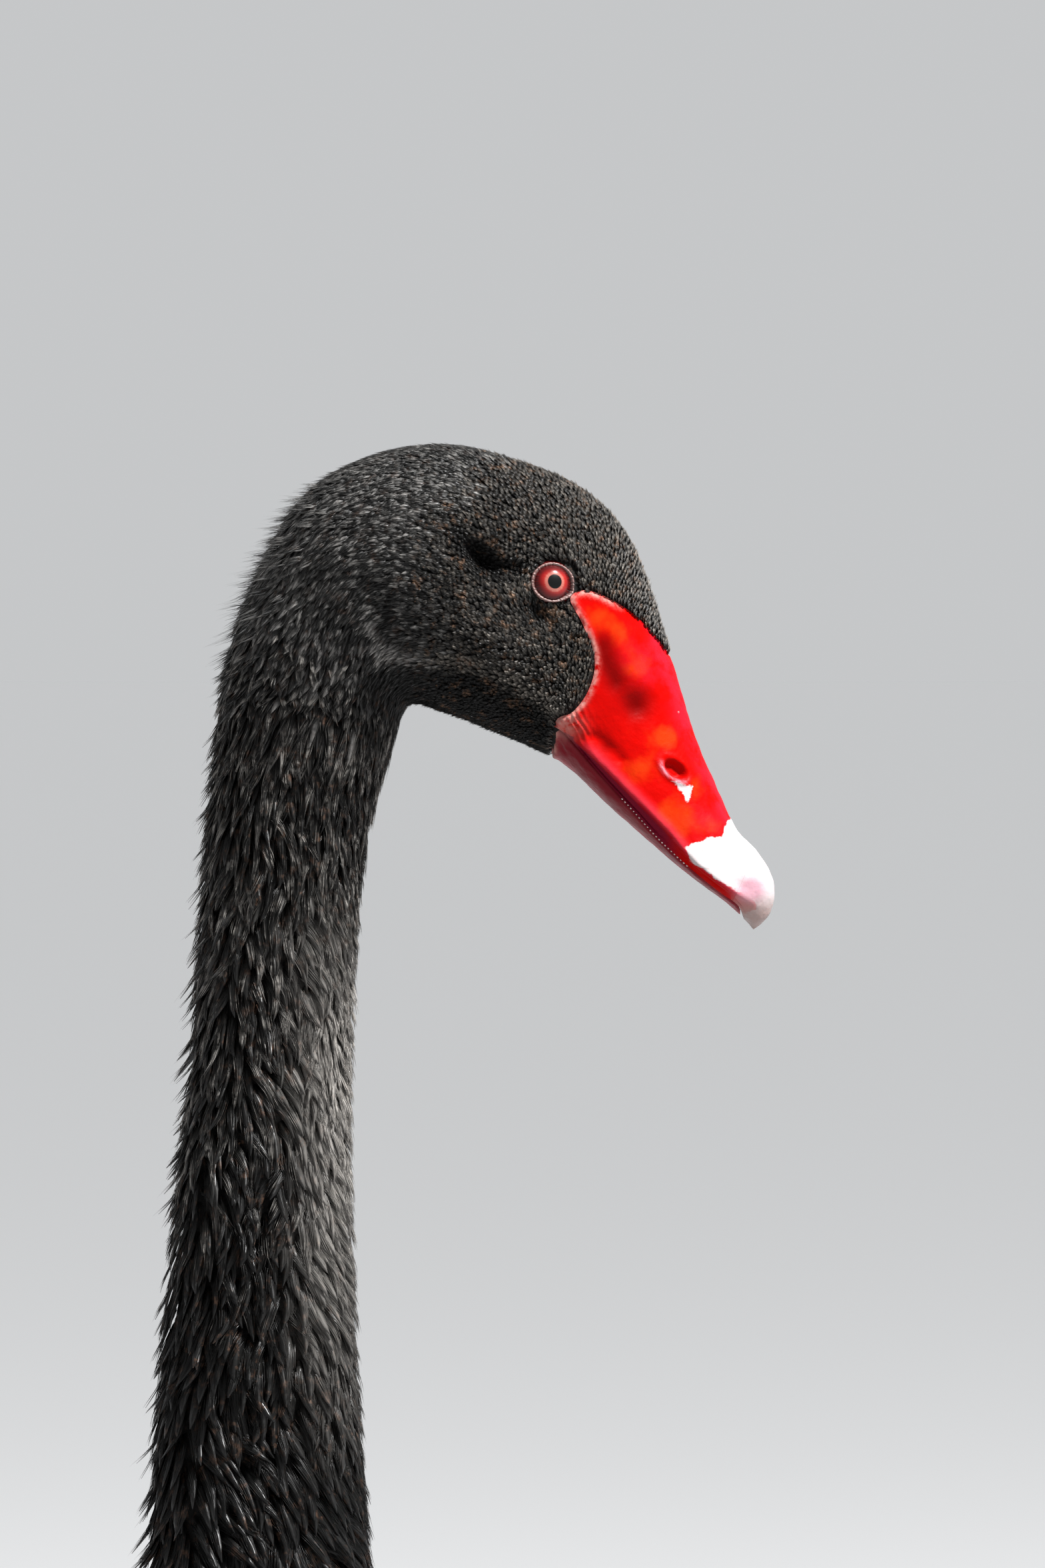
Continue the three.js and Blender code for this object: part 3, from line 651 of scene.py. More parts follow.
    def side_place(self, x: float, z: float) -> Pair:
        """Where on the left side the surface shows a place of the side view.

        Args:
            x: The place along.
            z: The height.

        Returns:
            The place along the bird and the angle round it.
        """
        left = self.table_points[:, 200:320]
        off = np.hypot(left[..., 0] - x, left[..., 2] - z)
        row, col = np.unravel_index(np.argmin(off), off.shape)
        return self.first + row * self.step, col + 20.0

    def unwrap(self, t: Array, angle: Array) -> Array:
        """The place of each point on the flat unwrap of the skin.

        Args:
            t: Places along the bird.
            angle: Angles round it, in degrees.

        Returns:
            The places, from 0 to 1 each way.
        """
        u = ((np.asarray(angle) + 180) % 360) / 360
        v = (np.asarray(t) - self.first) / (len(SECTIONS) - 1 - self.first)
        return np.stack([0.01 + 0.98 * u, 0.01 + 0.98 * v], axis=-1)


@dataclass(frozen=True)
class Plume:
    """One feather or tuft as points to be laid, and its triangles."""

    along: Array
    across: Array
    shift: Array
    height: Array
    faces: Array
    vane: Array
    tone: Array

    @staticmethod
    def joined(parts: Sequence["Plume"]) -> "Plume":
        """Puts the vane and the blades of one feather together.

        Args:
            parts: The vane and the blades.

        Returns:
            The whole feather.
        """
        starts = np.cumsum([0] + [len(p.along) for p in parts])
        gathered = {
            name: np.concatenate([getattr(p, name) for p in parts])
            for name in ("along", "across", "shift", "height", "vane", "tone")
        }
        return Plume(faces=np.concatenate([p.faces + s for p, s in zip(parts, starts)]), **gathered)


def vane(
    stations: int,
    columns: int,
    thick: float,
    point: float,
    root: float = 0.42,
    shaft: float = 0.0,
    notch: float = 0.0,
    tone: float = 0.5,
    wide: float = 1.0,
    rng: Random | None = None,
) -> Plume:
    """The web of a feather: a thin closed lens with a shaft along it.

    Args:
        stations: Steps from root to tip.
        columns: Points across the upper face.
        thick: Thickness in the middle, in millimetres.
        point: 0 for a round tip, 1 for a pointed one.
        root: Share of the full width at the root.
        shaft: How far the shaft stands up, in millimetres.
        notch: How deep the edges are split, as a share of the width.
        tone: How light it is, from 0 to 1.
        wide: Share of the feather's width that it fills.
        rng: Where the splits come from.

    Returns:
        The web.
    """
    s = 1 - (1 - np.linspace(0, 1, stations + 1)) ** 1.25
    u = np.linspace(-1, 1, columns)
    opened = root + (1 - root) * smoothstep(0, 0.38, s)
    blunt = np.sqrt(np.clip(1 - 0.95 * (np.clip(s - 0.72, 0, 1) / 0.28) ** 2, 0, 1))
    sharp = np.clip(1 - (np.clip(s - 0.3, 0, 1) / 0.7) ** 1.6, 0.05, 1)
    width = wide * opened * mix(blunt, sharp, point)
    across = u[None, :] * width[:, None]
    along = np.repeat(s[:, None], columns, axis=1)
    if rng is not None and notch > 0:
        ragged = 1 - notch * rng.uniform(0, 1, (stations + 1, 2)) ** 2
        across[:, 0] *= ragged[:, 0]
        across[:, -1] *= ragged[:, 1]
        along = along + 0.35 * notch * rng.uniform(-1, 1, along.shape) * (s > 0.5)[:, None] / stations
    swell = thick * (1 - u[None, :] ** 2) * (0.35 + 0.65 * width[:, None] / wide)
    swell = swell + shaft * (np.abs(u[None, :]) < 0.01) * (1 - 0.7 * s[:, None])
    top = grid_faces(stations + 1, columns)
    left = np.arange(stations) * columns
    right = left + columns - 1
    below = np.concatenate([
        np.stack([left, right + columns, right], 1),
        np.stack([left, left + columns, right + columns], 1),
    ])
    k = np.arange(1, columns - 1)
    start = np.stack([np.zeros_like(k), k + 1, k], 1)
    end = stations * columns
    finish = np.stack([np.full_like(k, end), end + k, end + k + 1], 1)
    return Plume(
        along.ravel(),
        across.ravel(),
        np.zeros(along.size),
        swell.ravel(),
        np.concatenate([top, below, start, finish]),
        np.stack([np.broadcast_to(u, along.shape).ravel(), along.ravel()], 1),
        np.full(along.size, tone),
    )


def blade(
    start: Pair,
    end: Pair,
    bow: float,
    half: float,
    rise: Pair,
    tone: float,
    stations: Sequence[float],
) -> Plume:
    """One loose barb of a feather: a thin three-sided spike.

    Args:
        start: Where it leaves the feather (along, across).
        end: Where its tip is (along, across).
        bow: How far it bends sideways on its way, in half widths of the feather.
        half: Half its thickness at the root, in millimetres.
        rise: Its height over the feather at root and tip, in millimetres.
        tone: How light it is, from 0 to 1.
        stations: The places along it that get points.

    Returns:
        The barb.
    """
    q = np.array(stations[:-1], float)
    taper = half * (1 - 0.55 * q)

    def line(r: Array | float) -> tuple[Array, Array]:
        """The place (along, across) at a share of the way to the tip."""
        sideways = mix(start[1], end[1], r) + bow * np.sin(np.pi * r * 0.9) * r
        return mix(start[0], end[0], r), sideways

    lift = mix(rise[0], rise[1], q**1.4)
    s, u = line(q)
    tip_s, tip_u = line(1.0)
    shift = np.stack([-taper, taper, np.zeros_like(q)], 1).ravel()
    height = np.stack([lift, lift, lift + 1.7 * taper], 1).ravel()
    count = len(q)
    i = np.arange(count - 1) * 3
    walls = []
    for a, b in ((1, 0), (0, 2), (2, 1)):
        walls += [np.stack([i + a, i + b, i + b + 3], 1), np.stack([i + a, i + b + 3, i + a + 3], 1)]
    e, tip = (count - 1) * 3, count * 3
    caps = np.array([[0, 1, 2], [e + 1, e, tip], [e, e + 2, tip], [e + 2, e + 1, tip]])
    across = np.append(np.repeat(u, 3), tip_u)
    along = np.append(np.repeat(s, 3), tip_s)
    return Plume(
        along,
        across,
        np.append(shift, 0.0),
        np.append(height, rise[1] + 0.4 * half),
        np.concatenate([*walls, caps]),
        np.stack([np.clip(across, -1, 1), np.append(np.repeat(q, 3), 1.0)], 1),
        np.full(len(along), tone),
    )


@dataclass
class Sites:
    """Where feathers are rooted, with the spacing there."""

    t: Array
    angle: Array
    spacing: Array

    def only(self, keep: Array) -> "Sites":
        """The sites that a mask keeps."""
        return Sites(self.t[keep], self.angle[keep], self.spacing[keep])


def scatter(
    form: BodyForm,
    front: float,
    back: float,
    spacing: Callable[[Array, Array], Array],
    rng: Random,
    even: float = 0.78,
) -> Sites:
    """Roots in staggered rows round the bird, thinned where the rows crowd.

    Args:
        form: The surface.
        front: The place of the first row.
        back: The place of the last row.
        spacing: Gives the distance between roots at places along and round.
        rng: Where the small irregularities come from.
        even: How near two roots may come, as a share of the spacing.

    Returns:
        The sites.
    """
    ring = np.arange(-180.0, 180.5, 1.0)
    t, odd = front, 0
    kept: list[Array] = []
    while t > back:
        points = form.sample(np.full_like(ring, t), ring)[0]
        length = np.append(0, np.cumsum(np.linalg.norm(np.diff(points, axis=0), axis=1)))
        gap = float(np.min(spacing(np.full_like(ring, t), ring)))
        count = max(6, int(length[-1] / gap))
        places = (np.arange(count) + 0.5 * odd + rng.uniform(-0.12, 0.12, count)) / count * length[-1]
        angle = np.interp(places % length[-1], length, ring)
        along = np.linalg.norm(form.sample(np.full_like(ring, t - 0.1), ring)[0] - points, axis=1).max() / 0.1
        row_t = t + rng.uniform(-0.14, 0.14, count) * gap / along
        point = form.sample(row_t, angle)[0]
        own = spacing(row_t, angle)
        clear = np.ones(count, bool)
        for before in kept[-9:]:
            off = np.linalg.norm(point[:, None] - before[None, :, 3:6], axis=2)
            clear &= (off > even * own[:, None]).all(axis=1)
        gaps = np.linalg.norm(point - np.roll(point, 1, axis=0), axis=1)
        crowded = gaps < 0.6 * own
        clear &= ~(crowded & (np.arange(count) % 2 == 1))
        kept.append(np.column_stack([row_t, angle, own, point])[clear])
        t -= 0.86 * gap / along
        odd = 1 - odd
    rows = np.concatenate(kept)
    return Sites(rows[:, 0], rows[:, 1], rows[:, 2])


@dataclass(frozen=True)
class Lay:
    """How the feathers of one coat lie: sizes in millimetres, turns in degrees.

    Length, half width and the curl of the tips are read for each root.
    """

    length: Callable[[Sites], Array]
    half: Callable[[Sites], Array]
    curl: Callable[[Sites], Array]
    turn: float = 12.0
    bend: float = 0.0
    sway: float = 0.0
    curled: float = 0.2
    ruffle: float = 0.15
    sink: float = 0.85
    proud: float = 0.25
    camber: float = 0.0
    own_shade: float = 0.5
    comb: Callable[[Sites, Array], Array] | None = None
    over: Callable[[Array, Array], Array] | None = None


def lay(form: BodyForm, sites: Sites, plumes: Sequence[Plume], how: Lay, rng: Random) -> Shell:
    """Lays feathers on the bird.

    Args:
        form: The surface.
        sites: Where they are rooted.
        plumes: The kinds of feather, picked at random.
        how: Their sizes and how they lie.
        rng: Where the variation comes from.

    Returns:
        All the feathers as one shell.
    """
    def pick(low: float, high: float) -> Array:
        """A random value for each feather of the kind in hand."""
        return rng.uniform(low, high, count)[:, None]

    shells = []
    kinds = rng.integers(0, len(plumes), len(sites.t))
    for number, plume in enumerate(plumes):
        own = sites.only(kinds == number)
        count = len(own.t)
        if count == 0:
            continue
        length = how.length(own)[:, None] * pick(0.86, 1.14)
        half = how.half(own)[:, None] * pick(0.88, 1.12)
        root_point = form.sample(own.t, own.angle)[0]
        turn = np.radians(rng.normal(0, how.turn, count))
        if how.comb is not None:
            turn = turn + how.comb(own, root_point)
        turn = turn[:, None]
        s, u = plume.along[None, :], plume.across[None, :]
        bend = how.bend * (pick(-1, 1) - how.sway * turn)
        v = length * s
        w = half * u + plume.shift[None, :] + bend * s**2
        v, w = v * np.cos(turn) - w * np.sin(turn), v * np.sin(turn) + w * np.cos(turn)
        mt, ma = form.measure(own.t, own.angle)
        t = own.t[:, None] - v / mt[:, None]
        angle = own.angle[:, None] + w / ma[:, None]
        depth = form.depth(own.t)[:, None]
        strong = np.where(pick(0, 1) < how.curled, pick(0.4, 1.0), pick(-0.05, 0.2))
        rise = -how.sink * depth * (1 - np.minimum(1, s * 1.25) ** 0.8) + how.proud * depth * s
        tilt = how.ruffle * depth * pick(-1, 1) * s
        curl = how.curl(own)[:, None] * strong * np.clip(s - 0.35, 0, 1) ** 2 / 0.42
        high = rise + tilt + curl
        if how.over is not None:
            high = mix(high, np.maximum(high, how.over(t, angle)), smoothstep(0.1, 0.45, s))
        high = high + plume.height[None, :] - how.camber * half * u**2
        point, normal = form.sample(t, angle)
        point = point + normal * high[..., None]
        point[..., 2] = np.maximum(point[..., 2], GROUND + 0.6 * np.clip(high + depth, 0, 1))
        point[..., 2] = np.minimum(point[..., 2], CEILING)
        size = point.shape[1]
        starts = (np.arange(count) * size)[:, None, None]
        root = form.unwrap(own.t, own.angle)[:, None, :]
        shade = how.own_shade * pick(0, 1) ** 1.5 + (1 - how.own_shade) * plume.tone
        shells.append(Shell(
            point.reshape(-1, 3),
            (plume.faces[None] + starts).reshape(-1, 3),
            {
                # The shade value carries the form's painted shade and painted light besides each feather's
                # own tone.
                "shade": np.clip(shade - 0.75 * form.painted_light_and_shade(root_point)[:, None], -0.4, 1.2).ravel(),
                "tip": np.tile(np.clip(plume.along, 0, 1.2) * (plume.tone > 0), count),
            },
            {
                "OFBake": (root + patch(np.clip(u, -1, 1), s)).reshape(-1, 2),
                "Vane": np.tile(plume.vane, (count, 1)),
            },
        ))
    return Shell.joined(shells).outward()


def large_feather(points: Array, plume: Plume, root: Array, shade: float) -> Shell:
    """A large feather with its shade and its place on the skin's unwrap.

    Args:
        points: Its points.
        plume: Its shape.
        root: The place of its root on the unwrap.
        shade: How light it is, from 0 to 1.

    Returns:
        The feather.
    """
    values = {"shade": np.full(len(points), shade), "tip": plume.along}
    maps = {"OFBake": root + patch(plume.across, plume.along), "Vane": plume.vane}
    return Shell(points, plume.faces, values, maps)


class Tree:
    """A node tree with short calls for what the finishes need."""

    def __init__(self, tree: bpy.types.NodeTree) -> None:
        """Keeps the tree that nodes are added to."""
        self.tree = tree

    def node(self, kind: str, sockets: dict | None = None, **settings: object) -> bpy.types.Node:
        """Adds a node.

        Args:
            kind: The node's type.
            sockets: What goes into its inputs, by name or number: a socket or a constant.
            settings: Its own settings.

        Returns:
            The node.
        """
        made = self.tree.nodes.new(kind)
        for name, value in settings.items():
            setattr(made, name, value)
        for key, value in (sockets or {}).items():
            self.feed(made.inputs[key], value)
        return made

    def feed(self, socket: Socket, value: object) -> None:
        """Links a value into an input, or sets the input to a constant.

        Args:
            socket: The input.
            value: A socket or a constant.
        """
        if isinstance(value, Socket):
            self.tree.links.new(value, socket)
        else:
            socket.default_value = value

    def math(self, operation: str, a: object, b: object = 0.0, c: object = 0.0) -> Socket:
        """The outcome of an operation on one to three values."""
        return self.node("ShaderNodeMath", {0: a, 1: b, 2: c}, operation=operation).outputs[0]

    def times(self, a: object, b: object, plus: object = None) -> Socket:
        """One value times another, and plus a third where one is given."""
        if plus is None:
            return self.math("MULTIPLY", a, b)
        return self.math("MULTIPLY_ADD", a, b, plus)

    def height(self) -> Socket:
        """How high the point lies, in metres."""
        return self.node("ShaderNodeSeparateXYZ", {0: self.place()}).outputs[2]

    def span(
        self, value: object, low: float, high: float, start: float = 0.0, end: float = 1.0
    ) -> Socket:
        """A value's range softly stretched to another, and held at its ends."""
        sockets = {"Value": value, "From Min": low, "From Max": high, "To Min": start, "To Max": end}
        return self.node("ShaderNodeMapRange", sockets, interpolation_type="SMOOTHSTEP").outputs[0]

    def noise(self, place: object, scale: object, detail: float, rough: float = 0.5) -> Socket:
        """Cloudy values with blots of a thousand over scale millimetres."""
        sockets = {"Vector": place, "Scale": scale, "Detail": detail, "Roughness": rough}
        return self.node("ShaderNodeTexNoise", sockets).outputs["Fac"]

    def blend(self, share: object, a: object, b: object) -> Socket:
        """A colour between two.

        Args:
            share: The share of the second colour.
            a: The first colour.
            b: The second colour.

        Returns:
            The colour.
        """
        made = self.tree.nodes.new("ShaderNodeMix")
        made.data_type = "RGBA"
        for key, value in ((0, share), (6, a), (7, b)):
            self.feed(made.inputs[key], (*value, 1.0) if isinstance(value, tuple) else value)
        return made.outputs[2]

    def read(self, name: str) -> Socket:
        """A value that the mesh carries at each point."""
        return self.node("ShaderNodeAttribute", attribute_name=name).outputs["Fac"]

    def place(self) -> Socket:
        """The point's own coordinates, in metres."""
        return self.node("ShaderNodeTexCoord").outputs["Object"]

    def web(self, name: str) -> Socket:
        """The point's place on a named map of the mesh."""
        return self.node("ShaderNodeUVMap", uv_map=name).outputs[0]

    def bump(self, height: object, distance: float) -> Socket:
        """A surface direction bent by a height."""
        return self.node("ShaderNodeBump", {"Height": height, "Distance": distance}).outputs[0]


class Group:
    """A shader node group that several finishes use, built once."""

    name = ""
    inputs: dict[str, tuple[str, object]] = {}
    outputs: Sequence[str] = ()

    @classmethod
    def tree(cls) -> bpy.types.NodeTree:
        """The group's tree, made on first use.

        Returns:
            The tree.
        """
        found = bpy.data.node_groups.get(cls.name)
        if found:
            return found
        made = bpy.data.node_groups.new(cls.name, "ShaderNodeTree")
        for label, (kind, value) in cls.inputs.items():
            socket = made.interface.new_socket(label, in_out="INPUT", socket_type=kind)
            if value is not None:
                socket.default_value = value
        for label in cls.outputs:
            made.interface.new_socket(label, in_out="OUTPUT", socket_type="NodeSocketFloat")
        tree = Tree(made)
        source = tree.node("NodeGroupInput")
        sink = tree.node("NodeGroupOutput")
        for label, value in cls.build(tree, source.outputs).items():
            made.links.new(value, sink.inputs[label])
        return made

    @classmethod
    def build(cls, tree: Tree, given: bpy.types.NodeOutputs) -> dict[str, Socket]:
        """Fills the tree and gives what each output carries."""
        raise NotImplementedError

    @classmethod
    def use(cls, tree: Tree, **values: object) -> bpy.types.NodeOutputs:
        """Places the group in a material.

        Args:
            tree: The material's tree.
            values: What goes into its inputs.

        Returns:
            The outputs of the group.
        """
        made = tree.tree.nodes.new("ShaderNodeGroup")
        made.node_tree = cls.tree()
        for key, value in values.items():
            tree.feed(made.inputs[key], value)
        return made.outputs


class BarbGrain(Group):
    """The slanting barbs of a feather's web, drawn on its own map."""

    name = "Barb Grain"
    inputs = {
        "Web": ("NodeSocketVector", None),
        "Place": ("NodeSocketVector", None),
        "Barbs": ("NodeSocketFloat", 40.0),
        "Slant": ("NodeSocketFloat", 0.35),
    }
    outputs = ("Height", "Fringe", "Streak")

    @classmethod
    def build(cls, tree: Tree, given: bpy.types.NodeOutputs) -> dict[str, Socket]:
        """Lines that leave the shaft at a slant, with small splits and a fringe at the edge.

        Args:
            tree: The group's tree.
            given: What comes into the group.

        Returns:
            What each output carries.
        """
        parts = tree.node("ShaderNodeSeparateXYZ", {0: given["Web"]}).outputs
        across = tree.math("ABSOLUTE", parts[0])
        clump = tree.noise(given["Place"], 260.0, 2.0, 0.6)
        slanted = tree.times(across, tree.times(given["Slant"], -1.0), parts[1])
        wobble = tree.times(clump, 0.05, slanted)
        turns = tree.times(tree.times(wobble, given["Barbs"]), 2 * math.pi)
        lines = tree.times(tree.math("SINE", turns), 0.5, 0.5)
        shaft = tree.span(across, 0.1, 0.02)
        height = tree.math("MAXIMUM", tree.times(lines, 0.7), shaft)
        tip = tree.math("POWER", tree.math("MAXIMUM", parts[1], 0.0), 3.0)
        fringe = tree.span(tree.math("MAXIMUM", tip, tree.times(across, 0.95)), 0.72, 1.0)
        return {"Height": height, "Fringe": fringe, "Streak": tree.times(lines, clump)}


class CoatMottle(Group):
    """The markings that the skin and every coat share."""

    name = "Coat Mottle"
    inputs = {"Place": ("NodeSocketVector", None)}
    outputs = ("Broad", "Fine", "Brown", "Throat")

    @classmethod
    def build(cls, tree: Tree, given: bpy.types.NodeOutputs) -> dict[str, Socket]:
        """Broad and fine cloudiness, brown flecks, and the lighter front of the neck.

        Args:
            tree: The group's tree.
            given: What comes into the group.

        Returns:
            What each output carries.
        """
        place = given["Place"]
        parts = tree.node("ShaderNodeSeparateXYZ", {0: place}).outputs
        broad = tree.noise(place, 42.0, 3.0, 0.6)
        fine = tree.noise(place, 520.0, 2.0, 0.6)
        brown = tree.span(tree.noise(place, 330.0, 3.0, 0.7), 0.54, 0.7)
        front = tree.times(tree.math("SUBTRACT", parts[2], 0.5), 0.02, parts[0])
        ahead = tree.span(tree.times(broad, 0.016, front), 0.152, 0.17)
        high = tree.span(parts[2], 0.6, 0.54)
        low = tree.span(parts[2], 0.425, 0.53)
        throat = tree.times(tree.times(ahead, high), low)
        return {"Broad": broad, "Fine": fine, "Brown": brown, "Throat": throat}


class SkinPores(Group):
    """Fine pores and creases of bare skin and horn."""

    name = "Skin Pores"
    inputs = {
        "Place": ("NodeSocketVector", None),
        "Scale": ("NodeSocketFloat", 900.0),
    }
    outputs = ("Height", "Blotch")

    @classmethod
    def build(cls, tree: Tree, given: bpy.types.NodeOutputs) -> dict[str, Socket]:
        """Cells of pores under a soft unevenness.

        Args:
            tree: The group's tree.
            given: What comes into the group.

        Returns:
            What each output carries.
        """
        cells = tree.node("ShaderNodeTexVoronoi", {"Vector": given["Place"], "Scale": given["Scale"]})
        soft = tree.noise(given["Place"], given["Scale"], 4.0)
        height = tree.times(cells.outputs["Distance"], 0.4, soft)
        return {"Height": height, "Blotch": tree.noise(given["Place"], 130.0, 4.0, 0.62)}


@dataclass(frozen=True)
class Finish:
    """A surface finish: its name, roughness, coat and how it is coloured."""

    name: str
    roughness: float = 0.5
    specular: float = 0.5
    coat: float = 0.0
    coat_roughness: float = 0.1
    sheen: float = 0.0

    def make(self) -> bpy.types.Material:
        """Builds the material, or gives it if it is there already.

        Returns:
            The material.
        """
        found = bpy.data.materials.get(self.name)
        if found:
            return found
        material = bpy.data.materials.new(self.name)
        material.use_nodes = True
        tree = Tree(material.node_tree)
        shader = material.node_tree.nodes["Principled BSDF"]
        fixed = {
            "Roughness": self.roughness,
            "Specular IOR Level": self.specular,
            "Coat Weight": self.coat,
            "Coat Roughness": self.coat_roughness,
            "Sheen Weight": self.sheen,
            "Sheen Roughness": 0.4,
        }
        for key, value in (fixed | self.dress(tree)).items():
            tree.feed(shader.inputs[key], value)
        return material

    def dress(self, tree: Tree) -> dict[str, object]:
        """What goes into the shader's inputs."""
        raise NotImplementedError

    def rough(self, tree: Tree, value: Socket, low: float = 0.2, high: float = 0.8) -> Socket:
        """The roughness, varied a little by a cloudy value."""
        return tree.span(value, low, high, self.roughness - 0.08, self.roughness + 0.1)


@dataclass(frozen=True)
class PlumageFinish(Finish):
    """Black feathers with brown flecks, and paler tips that are partly painted highlight."""

    deep: Colour = (0.003, 0.0029, 0.0027)
    middle: Colour = (0.04, 0.0382, 0.0355)
    brown: Colour = (0.055, 0.03, 0.019)
    # Paler tips, partly painted highlight on the tips and barbs.
    tips: Colour = (0.24, 0.225, 0.205)
    tipped: float = 0.8
    flecked: float = 0.75
    barbs: float = 14.0
    slant: float = 0.5
    grain: float = 0.25
    webbed: bool = True

    def dress(self, tree: Tree) -> dict[str, object]:
        """Cloudy black, flecks, a lighter throat, paler tips that are partly painted highlight, and barbs.

        Args:
            tree: The material's tree.

        Returns:
            What goes into the shader's inputs.
        """
        place = tree.place()
        mottle = CoatMottle.use(tree, Place=place)
        depth = tree.times(mottle["Fine"], 0.4, tree.times(mottle["Broad"], 0.5))
        if self.webbed:
            # The shade value holds the form's painted shade and light.
            shade = tree.read("shade")
            tip = tree.read("tip")
            grain = BarbGrain.use(tree, Web=tree.web("Vane"), Place=place, Barbs=self.barbs, Slant=self.slant)
            depth = tree.times(tree.math("SUBTRACT", shade, 0.45), 0.7, depth)
            depth = tree.times(tree.math("SUBTRACT", grain["Streak"], 0.25), 0.3, depth)
        colour = tree.blend(tree.span(depth, 0.3, 0.7), self.deep, self.middle)
        colour = tree.blend(tree.times(mottle["Brown"], self.flecked), colour, self.brown)
        colour = tree.blend(tree.times(mottle["Throat"], 0.6), colour, tuple(0.6 * c for c in self.tips))
        result: dict[str, object] = {"Base Color": colour}
        if self.webbed:
            # Paler tips, partly painted highlight where the tips catch the light.
            pale_tips_and_highlight = tree.times(tree.span(tip, 0.3, 0.95), tree.span(shade, 0.25, 0.7))
            pale_tips_and_highlight = tree.times(pale_tips_and_highlight, tree.span(mottle["Fine"], 0.3, 0.6))
            pale_tips_and_highlight = tree.times(pale_tips_and_highlight, self.tipped)
            result["Base Color"] = tree.blend(pale_tips_and_highlight, colour, self.tips)
            result["Normal"] = tree.bump(grain["Height"], self.grain * MM)
            result["Roughness"] = self.rough(tree, mottle["Fine"])
        else:
            result["Normal"] = tree.bump(mottle["Fine"], 0.6 * MM)
        return result


@dataclass(frozen=True)
class VaneFinish(Finish):
    """Large feathers: dark or white webs with a fringe along their edges."""

    web: Colour = (0.0145, 0.0133, 0.0127)
    dark: Colour = (0.0055, 0.0053, 0.0052)
    fringe: Colour = (0.06, 0.052, 0.047)
    fringed: float = 0.6
    barbs: float = 70.0
    slant: float = 0.22

    def dress(self, tree: Tree) -> dict[str, object]:
        """A streaked web, a paler fringe and barbs.

        Args:
            tree: The material's tree.

        Returns:
            What goes into the shader's inputs.
        """
        place = tree.place()
        mottle = CoatMottle.use(tree, Place=place)
        grain = BarbGrain.use(tree, Web=tree.web("Vane"), Place=place, Barbs=self.barbs, Slant=self.slant)
        depth = tree.times(tree.read("shade"), 0.35, tree.times(mottle["Broad"], 0.45))
        depth = tree.times(grain["Streak"], 0.5, depth)
        colour = tree.blend(tree.span(depth, 0.25, 0.85), self.dark, self.web)
        colour = tree.blend(tree.times(grain["Fringe"], self.fringed), colour, self.fringe)
        return {
            "Base Color": colour,
            "Normal": tree.bump(grain["Height"], 0.18 * MM),
            "Roughness": self.rough(tree, mottle["Fine"]),
        }


@dataclass(frozen=True)
class BillFinish(Finish):
    """Red bill skin with orange and pink in it, painted shade in its hollows, a pale band, and a pink lip
    with a painted highlight along it.
    """

    red: Colour = (0.29, 0.0008, 0.0003)
    orange: Colour = (0.33, 0.016, 0.0012)
    pink: Colour = (0.29, 0.006, 0.014)
    # Painted shade for the hollows of the bill.
    deep: Colour = (0.05, 0.0001, 0.0001)
    # A pink lip, partly a painted highlight along its raised roll.
    lip: Colour = (0.33, 0.018, 0.03)
    strip: Colour = (0.11, 0.004, 0.013)
    pale: Colour = (0.36, 0.32, 0.32)
    blush: Colour = (0.3, 0.15, 0.185)
    fold: Colour = (0.33, 0.15, 0.13)
    tan: Colour = (0.19, 0.125, 0.11)

    def dress(self, tree: Tree) -> dict[str, object]:
        """Blotches of red, then each marking, the painted shade of the hollows and the lip's painted
        highlight, from the values that the mesh carries.

        Args:
            tree: The material's tree.

        Returns:
            What goes into the shader's inputs.
        """
        place = tree.place()
        pores = SkinPores.use(tree, Place=place, Scale=950.0)
        small = tree.noise(place, 420.0, 4.0, 0.65)
        broken = tree.span(small, 0.3, 0.6)
        ragged = tree.times(tree.math("SUBTRACT", small, 0.5), 2.4, tree.read("band"))
        warm = tree.times(tree.read("warm"), 0.34, tree.noise(place, 95.0, 3.0, 0.6))
        ridge = tree.times(tree.read("culmen"), tree.span(pores["Blotch"], 0.32, 0.6))
        colour: object = self.red
        for share, shade in (
            (tree.span(warm, 0.6, 0.95), self.orange),
            (tree.times(ridge, 0.85), self.pink),
            # Painted shade in the hollows, then the pink lip with its painted highlight.
            (tree.read("hollow"), self.deep),
            (tree.times(tree.read("lip"), 0.8), self.lip),
            (tree.read("strip"), self.strip),
            (tree.span(ragged, 0.25, -0.25), self.pale),
            (tree.times(tree.read("blush"), 0.9), self.blush),
            (tree.times(tree.read("mark"), broken), self.blush),
            (tree.read("tan"), self.tan),
            (tree.times(tree.read("fold"), broken), self.fold),
        ):
            colour = tree.blend(share, colour, shade)
        rough = tree.times(tree.read("fold"), 0.15, tree.span(small, 0.2, 0.8, 0.36, 0.52))
        return {
            "Base Color": colour,
            "Roughness": rough,
            "Normal": tree.bump(pores["Height"], 0.07 * MM),
            "Subsurface Weight": 0.06,
            "Subsurface Radius": (1.0, 0.2, 0.1),
            "Subsurface Scale": 0.0012,
        }


